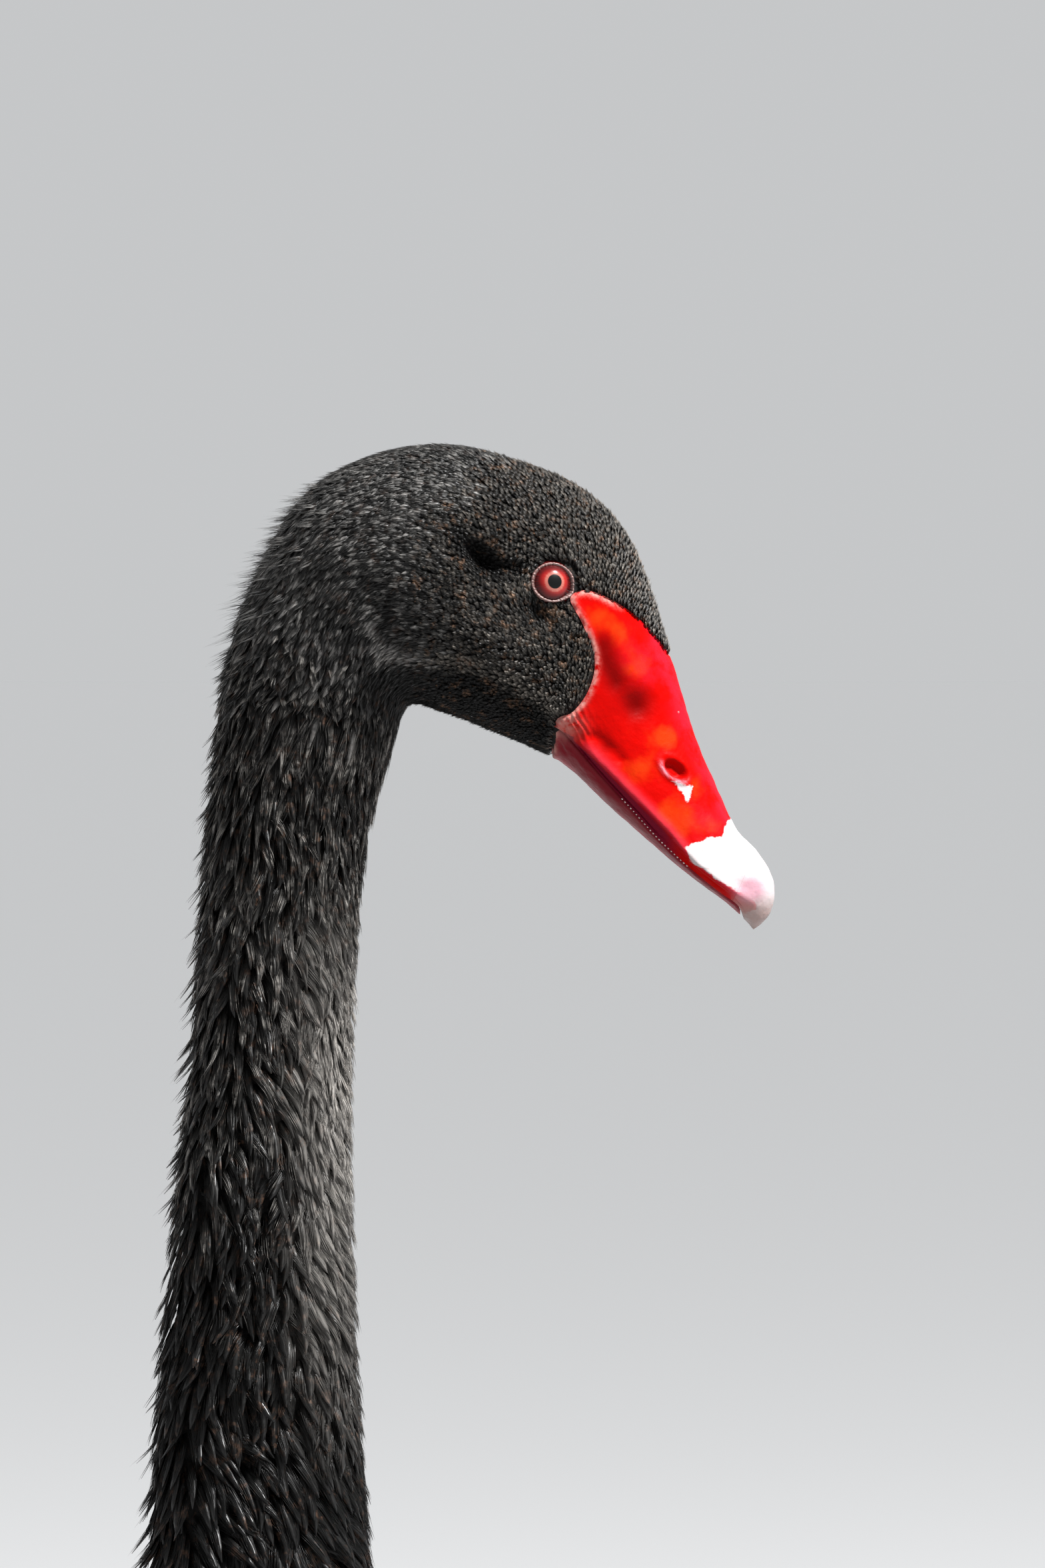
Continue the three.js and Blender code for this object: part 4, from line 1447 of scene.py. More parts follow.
@dataclass(frozen=True)
class IrisFinish(Finish):
    """The eye, coloured in rings from its pupil outwards."""

    rings: tuple[tuple[float, Colour], ...] = (
        (0.0, (0.002, 0.002, 0.002)),
        (1.78, (0.003, 0.002, 0.002)),
        (1.9, (0.24, 0.09, 0.07)),
        (2.4, (0.27, 0.085, 0.065)),
        (2.8, (0.21, 0.014, 0.011)),
        (3.4, (0.16, 0.004, 0.004)),
        (4.0, (0.05, 0.001, 0.001)),
        (4.5, (0.005, 0.001, 0.001)),
    )

    def dress(self, tree: Tree) -> dict[str, object]:
        """Rings with fine spokes, and a painted shadow of the upper lid over their top.

        Args:
            tree: The material's tree.

        Returns:
            What goes into the shader's inputs.
        """
        disc = tree.web("Disc")
        reach = tree.node("ShaderNodeVectorMath", {0: disc}, operation="LENGTH").outputs["Value"]
        spoke = tree.node("ShaderNodeVectorMath", {0: disc}, operation="NORMALIZE").outputs[0]
        fibres = tree.noise(spoke, 16.0, 3.0, 0.7)
        shifted = tree.times(tree.math("SUBTRACT", fibres, 0.5), 0.05, reach)
        ramp = tree.node("ShaderNodeValToRGB", {"Fac": shifted})
        stops = ramp.color_ramp.elements
        for number, (radius, colour) in enumerate(self.rings):
            stop = stops[number] if number < 2 else stops.new(radius / 10)
            stop.position = radius / 10
            stop.color = (*colour, 1.0)
        # Painted shadow of the upper lid over the top of the eye.
        up = tree.node("ShaderNodeSeparateXYZ", {0: disc}).outputs[1]
        shaded = tree.times(tree.span(up, 0.12, 0.4), 0.8)
        streaked = tree.times(tree.span(fibres, 0.35, 0.65), 0.35)
        colour = tree.blend(streaked, ramp.outputs[0], (0.16, 0.004, 0.004))
        inner = tree.span(reach, 0.19, 0.172)
        colour = tree.blend(inner, colour, (0.002, 0.002, 0.002))
        return {"Base Color": tree.blend(shaded, colour, (0.03, 0.002, 0.002))}


@dataclass(frozen=True)
class HideFinish(Finish):
    """Bare skin, scutes or horn in two shades with pores or scales."""

    light: Colour = (0.05, 0.045, 0.042)
    dark: Colour = (0.015, 0.014, 0.014)
    scale: float = 700.0
    relief: float = 0.25

    def dress(self, tree: Tree) -> dict[str, object]:
        """Two shades in blots, darker between the cells.

        Args:
            tree: The material's tree.

        Returns:
            What goes into the shader's inputs.
        """
        pores = SkinPores.use(tree, Place=tree.place(), Scale=self.scale)
        depth = tree.times(pores["Height"], 0.5, tree.times(pores["Blotch"], 0.6))
        return {
            "Base Color": tree.blend(tree.span(depth, 0.35, 0.8), self.dark, self.light),
            "Roughness": self.rough(tree, pores["Blotch"], 0.3, 0.7),
            "Normal": tree.bump(pores["Height"], self.relief * MM),
        }


@dataclass(frozen=True)
class LidFinish(HideFinish):
    """The bare lids, pale along their edge, with painted shade on their inner side where they slope to the
    eyeball.
    """

    # Painted shade on the inner side of the lids, by the eyeball.
    painted_inner_shade: Colour = (0.02, 0.006, 0.006)

    def dress(self, tree: Tree) -> dict[str, object]:
        """Bare skin with painted shade on its inner side.

        Args:
            tree: The material's tree.

        Returns:
            What goes into the shader's inputs.
        """
        result = super().dress(tree)
        result["Base Color"] = tree.blend(tree.read("inner"), result["Base Color"], self.painted_inner_shade)
        return result


@dataclass(frozen=True)
class LegFinish(HideFinish):
    """Leg skin, with black down over the thigh above the heel."""

    down: Colour = (0.009, 0.0085, 0.008)
    down_from: float = 10.5 * MM
    down_full: float = 13.0 * MM

    def dress(self, tree: Tree) -> dict[str, object]:
        """Bare skin below and down above.

        Args:
            tree: The material's tree.

        Returns:
            What goes into the shader's inputs.
        """
        result = super().dress(tree)
        covered = tree.span(tree.height(), self.down_from, self.down_full)
        result["Base Color"] = tree.blend(covered, result["Base Color"], self.down)
        return result


@dataclass(frozen=True)
class FloorFinish(Finish):
    """A plain pale floor, a little lighter far away."""

    near: Colour = (0.36, 0.36, 0.365)
    far: Colour = (1.0, 1.0, 1.0)

    def dress(self, tree: Tree) -> dict[str, object]:
        """From the near to the far shade by the distance from the middle."""
        reach = tree.node("ShaderNodeVectorMath", {0: tree.place()}, operation="LENGTH").outputs["Value"]
        return {"Base Color": tree.blend(tree.span(reach, 0.8, 6.0), self.near, self.far)}


class Coating(Enum):
    """The finishes of the bird and its floor."""

    SKIN = PlumageFinish(
        "plumage skin", roughness=0.8, specular=0.1, webbed=False, middle=(0.01, 0.0095, 0.009),
    )
    FACE = PlumageFinish(
        "face plumage", roughness=0.45, specular=0.25, grain=0.0, barbs=3.0, middle=(0.034, 0.031, 0.0275),
        tips=(0.19, 0.167, 0.142), tipped=0.8, brown=(0.1, 0.055, 0.032), flecked=1.0,
    )
    # Lighter than the face: painted light on the top and back of the head.
    CROWN = PlumageFinish(
        "crown plumage", roughness=0.42, specular=0.3, grain=0.0, barbs=3.0, middle=(0.06, 0.058, 0.0555),
        tips=(0.27, 0.258, 0.243), tipped=0.85, flecked=0.45,
    )
    NECK = PlumageFinish(
        "neck plumage", roughness=0.36, specular=0.25, grain=0.0, barbs=2.0, middle=(0.018, 0.0171, 0.0157),
        tips=(0.4, 0.375, 0.345), tipped=0.95,
    )
    BODY = PlumageFinish(
        "body plumage", roughness=0.5, specular=0.25, tipped=0.3, grain=0.2, barbs=42.0, slant=0.4,
        middle=(0.026, 0.0245, 0.023), deep=(0.008, 0.0077, 0.0072), tips=(0.16, 0.148, 0.135),
    )
    WING = VaneFinish("wing feathers", roughness=0.48, sheen=0.05)
    WHITE = VaneFinish(
        "white primaries", roughness=0.5,
        web=(0.78, 0.77, 0.74), dark=(0.6, 0.59, 0.56), fringe=(0.8, 0.79, 0.77),
    )
    BILL = BillFinish("red bill skin", specular=0.02)
    JAW = BillFinish(
        "dark red jaw", specular=0.1,
        red=(0.12, 0.003, 0.008), orange=(0.17, 0.006, 0.012), pink=(0.24, 0.016, 0.028),
    )
    NAIL = BillFinish("horn of the nail", roughness=0.3, specular=0.3)
    BEAD = HideFinish(
        "pale beads", roughness=0.3, light=(0.5, 0.4, 0.37), dark=(0.28, 0.18, 0.16), relief=0.05,
    )
    IRIS = IrisFinish("iris rings", roughness=0.3, specular=0.08, coat=0.3, coat_roughness=0.02)
    LID = LidFinish(
        "bare lids", roughness=0.45, light=(0.13, 0.068, 0.06), dark=(0.03, 0.015, 0.013),
        scale=1500.0, relief=0.1,
    )
    LEG = LegFinish("skin of the legs", roughness=0.5, scale=420.0, relief=0.3)
    CLAW = HideFinish("black claws", roughness=0.35, light=(0.03, 0.028, 0.027), dark=(0.012, 0.011, 0.011))
    FLOOR = FloorFinish("plain floor", roughness=0.9, specular=0.05)

    def material(self) -> bpy.types.Material:
        """The material of this finish."""
        return self.value.make()


def ride(piece: Piece, slot: str, *nodes: str) -> Piece:
    """Seats a piece on the bird's body and reports it.

    Args:
        piece: The piece.
        slot: The name of a material slot; not used.
        nodes: The solids that it stands for.

    Returns:
        The piece.
    """
    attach(piece, "root")
    if nodes:
        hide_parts(*nodes)
    log.info("%s: %d triangles", piece.name, sum(len(p.vertices) - 2 for p in piece.data.polygons))
    return piece


def settle(piece: Piece) -> Piece:
    """Turns a piece's live modifiers into its mesh.

    Args:
        piece: The piece, with modifiers on it.

    Returns:
        The same piece with a plain mesh.
    """
    view = bpy.context.evaluated_depsgraph_get()
    mesh = bpy.data.meshes.new_from_object(piece.evaluated_get(view))
    old = piece.data
    piece.modifiers.clear()
    piece.data = mesh
    bpy.data.meshes.remove(old)
    mesh.name = piece.name
    return piece


def carve(piece: Piece, block: Shell, operation: str) -> None:
    """Cuts a piece with a block, or keeps only what lies in the block.

    Args:
        piece: The piece, a closed mesh.
        block: The block.
        operation: DIFFERENCE or INTERSECT.
    """
    cutter = block.to_object("block", Coating.SKIN.material(), smooth=False)
    cut = piece.modifiers.new("cut", "BOOLEAN")
    cut.object, cut.operation, cut.solver = cutter, operation, "MANIFOLD"
    settle(piece)
    mesh = cutter.data
    bpy.data.objects.remove(cutter)
    bpy.data.meshes.remove(mesh)


@dataclass
class Flesh:
    """The one skin of tail root, torso, neck and head, inside the plumage by the coat's depth."""

    form: BodyForm
    sides: int = 132
    tail_x: float = -316.0
    tail_z: float = 135.0
    under: float = 1.2
    behind_bill: float = 6.0

    def stops(self) -> Array:
        """Places of the rings, closer together on the neck and head.

        Returns:
            The places, counted in sections.
        """
        head = self.form.at("nape")
        body = np.linspace(self.form.at("tail root"), head, 190, endpoint=False)
        return np.append(body, np.linspace(head, self.form.at("bill"), 190))

    def build(self) -> Piece:
        """Makes the skin as a sheet of rings, closed at both ends.

        Returns:
            The piece.
        """
        angles = np.linspace(-180, 180, self.sides + 1)
        t, angle = np.meshgrid(self.stops(), angles, indexing="ij")
        point, normal = self.form.sample(t, angle)
        flat = point[..., [0, 2]].reshape(-1, 2)
        edge = line_distance(flat, smooth_line(FEATHER_LINE, 66))[0] * inside(flat, bare_outline())
        inset = self.behind_bill * smoothstep(0.3, 3.5, edge).reshape(t.shape)
        point = point - normal * (self.form.depth(t) + inset)[..., None]
        start = point[0]
        c, s = np.cos(np.radians(angles)), np.sin(np.radians(angles))
        end = np.stack([np.full_like(c, self.tail_x), 17 * s, self.tail_z + 2.6 * c], 1)
        wedge = [
            start + (end - start) * np.array([share, smoothstep(0, 1, share), smoothstep(0, 1, share**0.8)])
            for share in np.linspace(1, 0, 12, endpoint=False)
        ]
        point = np.concatenate([np.array(wedge), point])
        unwrapped = self.form.unwrap(t, np.clip(angle, -179.99, 179.99))
        tail_map = [unwrapped[0] + [0, 0.02 * share] for share in np.linspace(-1, 0, 12, endpoint=False)]
        unwrapped = np.concatenate([np.array(tail_map), unwrapped])
        point[..., 2] = np.maximum(point[..., 2], self.under)
        rows, columns = point.shape[:2]
        ends = np.array([point[0].mean(axis=0), point[-1].mean(axis=0)])
        k = np.arange(columns - 1)
        count, last = rows * columns, (rows - 1) * columns
        caps = np.concatenate([
            np.stack([k + 1, k, np.full_like(k, count)], 1),
            np.stack([last + k, last + k + 1, np.full_like(k, count + 1)], 1),
        ])
        maps = np.concatenate([unwrapped.reshape(-1, 2), [[0.5, 0.004], [0.5, 0.996]]])
        faces = np.concatenate([grid_faces(rows, columns), caps])
        shell = Shell(np.concatenate([point.reshape(-1, 3), ends]), faces, {}, {"OFBake": maps}).outward()
        piece = shell.to_object("skin", Coating.SKIN.material())
        weld(piece.data)
        return ride(piece, "plumage", "torso", "neck_lower", "neck_middle", "neck_upper", "head")


def weld(mesh: bpy.types.Mesh, distance: float = 1e-6) -> None:
    """Joins points of a mesh that lie in one place.

    Args:
        mesh: The mesh.
        distance: How near they lie, in metres.
    """
    work = bmesh.new()
    work.from_mesh(mesh)
    bmesh.ops.remove_doubles(work, verts=work.verts, dist=distance)
    work.to_mesh(mesh)
    work.free()


@dataclass(frozen=True)
class BillPlaces:
    """Where points of the bill lie: how far from its lines, and where round the nostril."""

    edge: Array
    mouth: Array
    lip: Array
    along: Array
    under: Array
    hollow: Array
    oval: Array
    above: Array


@dataclass
class Bill:
    """The bill in three pieces: upper bill, nail and lower bill, and the comb in its mouth."""

    form: BodyForm
    rings: int = 270
    sides: int = 232
    slit: float = 0.03
    jaw_narrow: float = 0.88
    jaw_end: float = 270.6
    nostril: Pair = (253.1, 626.6)
    nostril_slant: float = -38.0
    nostril_long: float = 3.7
    nostril_high: float = 2.1
    nostril_deep: float = 2.1
    comb_in: float = 1.1
    below: float = 560.0
    warm_places: Sequence[Pair] = (
        (238.2, 663.1), (243.6, 654.1), (250.8, 634.3), (243.6, 627.1), (250.8, 615.4), (233.0, 668.0),
        (257.0, 614.0), (261.5, 611.0), (254.5, 609.5), (259.0, 620.5),
    )
    strip_end: Pair = (256.0, 249.0)
    ridge_mark: Pair = (253.8, 642.0)

    def places(self, flat: Array) -> BillPlaces:
        """Reads where points of the bill lie in side view.

        Args:
            flat: The points (x, z).

        Returns:
            Their distances from the feather line, the mouth, the lip and the long hollow, how far
            along the lip they are, which lie between lip and mouth, how far out from the middle of
            the nostril and how far above it, both in its own half sizes.
        """
        mouth, lip = smooth_line(MOUTH_LINE, 48), smooth_line(LIP_LINE, 36)
        from_lip, along = line_distance(flat, lip)
        turn = math.radians(self.nostril_slant)
        off = flat - np.array(self.nostril)
        ahead = off @ [math.cos(turn), math.sin(turn)] / self.nostril_long
        above = off @ [-math.sin(turn), math.cos(turn)] / self.nostril_high
        return BillPlaces(
            edge=line_distance(flat, smooth_line(FEATHER_LINE, 66))[0],
            mouth=line_distance(flat, mouth)[0],
            lip=from_lip,
            along=along,
            under=inside(flat, np.concatenate([lip, mouth[::-1]])),
            hollow=line_distance(flat, smooth_line(HOLLOW_LINE, 6))[0],
            oval=np.sqrt(ahead**2 + above**2),
            above=above,
        )

    def relief(self, points: Array, normals: Array, upper: bool) -> Array:
        """How far the bill stands out from or sinks into its plain form.

        Args:
            points: Points of the plain surface.
            normals: The directions out of it.
            upper: Whether this is the upper bill.

        Returns:
            The height at each point.
        """
        flat = points[:, [0, 2]]
        side = smoothstep(0.3, 0.75, np.abs(normals[:, 1]))
        at = self.places(flat)
        rim = smoothstep(240, 234, flat[:, 0])
        height = 0.5 * rim * bell(at.edge - 1.1, 0.6) - 0.4 * (1 - smoothstep(0, 4.0, at.edge))
        height -= 0.5 * (1 - smoothstep(0, 0.9, at.edge)) ** 1.5
        height += 0.1 * soft_noise(points, 3.0, 11) + 0.05 * soft_noise(points, 1.1, 12)
        creases = np.sin(flat @ np.array([1.0, 0.55]) * 3.6 + 1.6 * soft_noise(points, 3.5, 14))
        height += 0.2 * spot(flat, 225.5, 638.5, 4.0) * creases
        if not upper:
            groove = line_distance(flat, smooth_line(MOUTH_LINE, 48, -3.4))[0]
            return height - 0.35 * bell(groove, 0.5) * side - 0.9 * (1 - smoothstep(0, 0.8, at.mouth))
        fade = smoothstep(0.0, 0.12, at.along) * smoothstep(1.0, 0.86, at.along)
        sunk = 0.65 * at.under * smoothstep(0.4, 1.5, at.lip)
        height += side * fade * (0.75 * bell(at.lip, 1.15) - sunk)
        height -= side * 0.55 * (1 - smoothstep(0, 0.7, at.mouth))
        groove = line_distance(flat, smooth_line(GROOVE_LINE, 6))[0]
        sunk = 1.3 * spot(flat, *BILL_HOLLOW, 3.0) + 0.9 * bell(at.hollow, 2.4) + 0.7 * bell(groove, 1.2)
        height -= side * sunk
        height += side * (0.6 * spot(flat, 241, 656, 5.5) + 0.4 * spot(flat, 236, 642, 4.0))
        pit = (1 - smoothstep(0.55, 1.08, at.oval)) * self.nostril_deep
        ridge = bell(at.oval - 1.35, 0.2) * mix(0.2, 0.6, smoothstep(0.4, -1.0, at.above))
        return height - side * (pit - ridge)

    def surface(self, upper: bool) -> Shell:
        """The whole bill region as one closed form with its relief.

        Args:
            upper: Whether the relief of the upper bill is on it.

        Returns:
            The closed form, from inside the head to the tip.
        """
        stops = np.linspace(self.form.at("brow") - 0.9, len(SECTIONS) - 1, self.rings)
        angles = np.arange(self.sides) * 360 / self.sides
        t, angle = np.meshgrid(stops, angles, indexing="ij")
        point, normal = self.form.sample(t, angle)
        scale = np.array([1, 1 if upper else self.jaw_narrow, 1])
        flat = point.reshape(-1, 3) * scale
        high = self.relief(flat, normal.reshape(-1, 3), upper).reshape(t.shape)
        tip = smoothstep(len(SECTIONS) - 1, len(SECTIONS) - 1.8, t)
        return loft((point + normal * (high * tip)[..., None]) * scale)

    def bill_block(self) -> Shell:
        """The block in front of the feather line."""
        return prism(bare_outline())

    def mouth_block(self, shift: float) -> Shell:
        """The block under the mouth line, moved up by a shift.

        Args:
            shift: How far up, in millimetres.

        Returns:
            The closed block.
        """
        line = smooth_line(MOUTH_LINE, 48, shift)
        corners = [(MOUTH_LINE[-1][0], self.below), (200, self.below), (200, MOUTH_LINE[0][1] + shift)]
        return prism(np.concatenate([line, corners]))

    def nail_block(self, shift: float) -> Shell:
        """The block in front of the nail's rear edge."""
        corners = [(268, 570), (300, 570), (300, 612)]
        return prism(np.concatenate([smooth_line(NAIL_EDGE, 16, shift), corners]))

    def mark(self, piece: Piece, upper: bool) -> None:
        """Writes the masks that the finish paints by, read from each point's place.

        Args:
            piece: The piece.
            upper: Whether it belongs to the upper bill.
        """
        mesh = piece.data
        co = np.empty(len(mesh.vertices) * 3, np.float32)
        mesh.vertices.foreach_get("co", co)
        points = co.reshape(-1, 3).astype(float) / MM
        flat = points[:, [0, 2]]
        at = self.places(flat)
        band = signed_reach(flat, BAND_OUTLINE)
        ridge_mark = np.linalg.norm(flat - self.ridge_mark, axis=1) - 0.1
        pale = np.minimum(band, np.minimum(signed_reach(flat, NOSTRIL_PATCH) + 0.55, ridge_mark))
        fade = smoothstep(0.0, 0.15, at.along)
        middle = smoothstep(9.5, 4.0, np.abs(points[:, 1]))
        # Painted shade in the hollows of the bill.
        dark = 0.85 * spot(flat, *BILL_HOLLOW, 3.2) + 0.8 * bell(at.hollow, 2.6)
        dark = dark + 0.45 * spot(flat, 234.5, 633.0, 1.6)
        fold = bell(at.edge - 0.5, 0.55) * smoothstep(240, 234, flat[:, 0])
        rim = bell(at.oval - 1.2, 0.12) * smoothstep(0.2, -0.9, at.above)
        ridge = middle + 0.7 * spot(flat, 246, 655, 5) + 0.5 * spot(flat, 262, 613, 4)
        strip = smoothstep(0.5, 1.3, at.lip) * smoothstep(*self.strip_end, flat[:, 0])
        write_values(mesh, {
            "band": pale if upper else np.full(len(flat), 9.0),
            "culmen": np.clip(ridge, 0, 1),
            "warm": sum(spot(flat, x, z, 2.4) for x, z in self.warm_places),
            "hollow": np.clip(dark, 0, 1) * upper,
            # The lip is partly painted highlight along its roll.
            "lip": bell(at.lip, 1.0) * fade * upper * (~at.under | (at.lip < 0.8)),
            "strip": strip * at.under * upper,
            "blush": np.clip(1.6 * spot(flat, 273.4, 594.0, 2.4), 0, 1) * upper,
            "fold": np.clip(fold + 0.7 * spot(flat, 223.5, 638.8, 2.6), 0, 1),
            "tan": smoothstep(594.0, 587.0, flat[:, 1]) * (flat[:, 0] > 268) * upper * 0.9,
            "mark": 0.8 * rim * upper,
        })
        mesh.shade_smooth()
        mesh.set_sharp_from_angle(angle=math.radians(48))

    def comb(self) -> Piece:
        """The pale beads along the edge of the mouth, on both sides.

        Returns:
            The piece.
        """
        runs = []
        for side in (1, -1):
            line = smooth_line(MOUTH_LINE, 48, 0.1)[17:31]
            places = [self.form.side_place(x, z) for x, z in line]
            half = [self.form.sample(t, angle)[0][1] for t, angle in places]
            runs.append(np.stack([line[:, 0], side * (np.array(half) - self.comb_in), line[:, 1]], 1))
        sizes = BeadSizes(1.1, 0.55, 0.8, 0.75)
        return beads_along("bill_comb", runs, sizes, Coating.BEAD.material(), seed=3)

    def build(self) -> list[Piece]:
        """Cuts the upper bill, the nail and the lower bill from their forms.

        Returns:
            The pieces.
        """
        upper = self.surface(True).to_object("bill_upper_skin", Coating.BILL.material())
        carve(upper, self.bill_block(), "INTERSECT")
        carve(upper, self.mouth_block(self.slit), "DIFFERENCE")
        nail = add_object("bill_nail_horn", upper.data.copy())
        nail.data.name = nail.name
        nail.data.materials[0] = Coating.NAIL.material()
        carve(upper, self.nail_block(-0.02), "DIFFERENCE")
        carve(nail, self.nail_block(0.0), "INTERSECT")
        lower = self.surface(False).to_object("bill_lower_skin", Coating.JAW.material())
        carve(lower, self.bill_block(), "INTERSECT")
        carve(lower, self.mouth_block(-self.slit), "INTERSECT")
        past = [(self.jaw_end, self.below), (300, self.below), (300, 660), (self.jaw_end, 660)]
        carve(lower, prism(np.array(past, float)), "DIFFERENCE")
        for piece, is_upper in ((upper, True), (nail, True), (lower, False)):
            self.mark(piece, is_upper)
        comb = self.comb()
        return [
            ride(upper, "bill_red", "bill_upper"),
            ride(nail, "nail_horn", "bill_nail"),
            ride(lower, "jaw_red", "bill_lower"),
            ride(comb, "nail_horn"),
        ]


@dataclass(frozen=True)
class BeadSizes:
    """The spacing, length, width and height of small parts along a path, in millimetres."""

    spacing: float
    long: float
    wide: float
    high: float


def bead_tree() -> bpy.types.NodeTree:
    """The node tree that sets rounded plates or beads along paths.

    Returns:
        The tree, with inputs for the sizes, the finish and the seed.
    """
    found = bpy.data.node_groups.get("Beads Along A Path")
    if found:
        return found
    made = bpy.data.node_groups.new("Beads Along A Path", "GeometryNodeTree")
    face = made.interface
    face.new_socket("Geometry", in_out="INPUT", socket_type="NodeSocketGeometry")
    for label in ("Spacing", "Long", "Wide", "High"):
        face.new_socket(label, in_out="INPUT", socket_type="NodeSocketFloat").default_value = 0.001
    face.new_socket("Seed", in_out="INPUT", socket_type="NodeSocketInt")
    face.new_socket("Finish", in_out="INPUT", socket_type="NodeSocketMaterial")
    face.new_socket("Geometry", in_out="OUTPUT", socket_type="NodeSocketGeometry")
    tree = Tree(made)
    given = tree.node("NodeGroupInput").outputs
    curve = tree.node("GeometryNodeMeshToCurve", {"Mesh": given["Geometry"]}).outputs[0]
    spread = tree.node("GeometryNodeResampleCurve", {"Curve": curve, "Length": given["Spacing"]},
                       mode="LENGTH")
    ball = tree.node("GeometryNodeMeshUVSphere", {"Segments": 10, "Rings": 6, "Radius": 0.5}).outputs[0]
    along = tree.node("GeometryNodeInputTangent").outputs[0]
    first = tree.node("FunctionNodeAlignRotationToVector", {"Vector": along}, axis="X").outputs[0]
    turned = tree.node("FunctionNodeAlignRotationToVector", {"Rotation": first, "Vector": (0.0, 0.0, 1.0)},
                       axis="Z", pivot_axis="X").outputs[0]
    width = tree.node("GeometryNodeInputNamedAttribute", {"Name": "wide"}, data_type="FLOAT").outputs[0]
    vary = tree.node("FunctionNodeRandomValue", {"Min": 0.88, "Max": 1.1, "Seed": given["Seed"]},
                     data_type="FLOAT")
    random_value = next(o for o in vary.outputs if o.enabled)
    sides = {0: given["Long"], 1: tree.times(given["Wide"], width), 2: tree.times(given["High"], width)}
    size = tree.node("ShaderNodeCombineXYZ", sides).outputs[0]
    sized = tree.node("ShaderNodeVectorMath", {0: size, "Scale": random_value}, operation="SCALE").outputs[0]
    placed = tree.node("GeometryNodeInstanceOnPoints", {
        "Points": spread.outputs[0], "Instance": ball, "Rotation": turned, "Scale": sized,
    }).outputs[0]
    real = tree.node("GeometryNodeRealizeInstances", {"Geometry": placed}).outputs[0]
    smooth = tree.node("GeometryNodeSetShadeSmooth", {"Geometry": real}).outputs[0]
    last = tree.node("GeometryNodeSetMaterial", {"Geometry": smooth, "Material": given["Finish"]}).outputs[0]
    tree.node("NodeGroupOutput", {"Geometry": last})
    return made


def beads_along(
    name: str,
    runs: Sequence[Array],
    sizes: BeadSizes,
    material: bpy.types.Material,
    seed: int,
    wide: Sequence[Array] | None = None,
) -> Piece:
    """Sets small parts along paths and makes them one plain mesh.

    Args:
        name: The name of the piece.
        runs: The points of each path.
        sizes: The sizes of the parts.
        material: Their finish.
        seed: Where their variation comes from.
        wide: The share of the width and height at each point of each path.

    Returns:
        The piece.
    """
    mesh = bpy.data.meshes.new(name)
    starts = np.cumsum([0] + [len(run) for run in runs])
    edges = [(s + k, s + k + 1) for s, run in zip(starts, runs) for k in range(len(run) - 1)]
    mesh.from_pydata((np.concatenate(runs) * MM).tolist(), edges, [])
    write_values(mesh, {"wide": np.ones(starts[-1]) if wide is None else np.concatenate(wide)})
    piece = add_object(name, mesh)
    tree = bead_tree()
    live = piece.modifiers.new("beads", "NODES")
    live.node_group = tree
    values = {"Spacing": sizes.spacing * MM, "Long": sizes.long * MM, "Wide": sizes.wide * MM,
              "High": sizes.high * MM, "Seed": seed, "Finish": material}
    for item in tree.interface.items_tree:
        if item.item_type == "SOCKET" and item.in_out == "INPUT" and item.name in values:
            live[item.identifier] = values[item.name]
    return settle(piece)


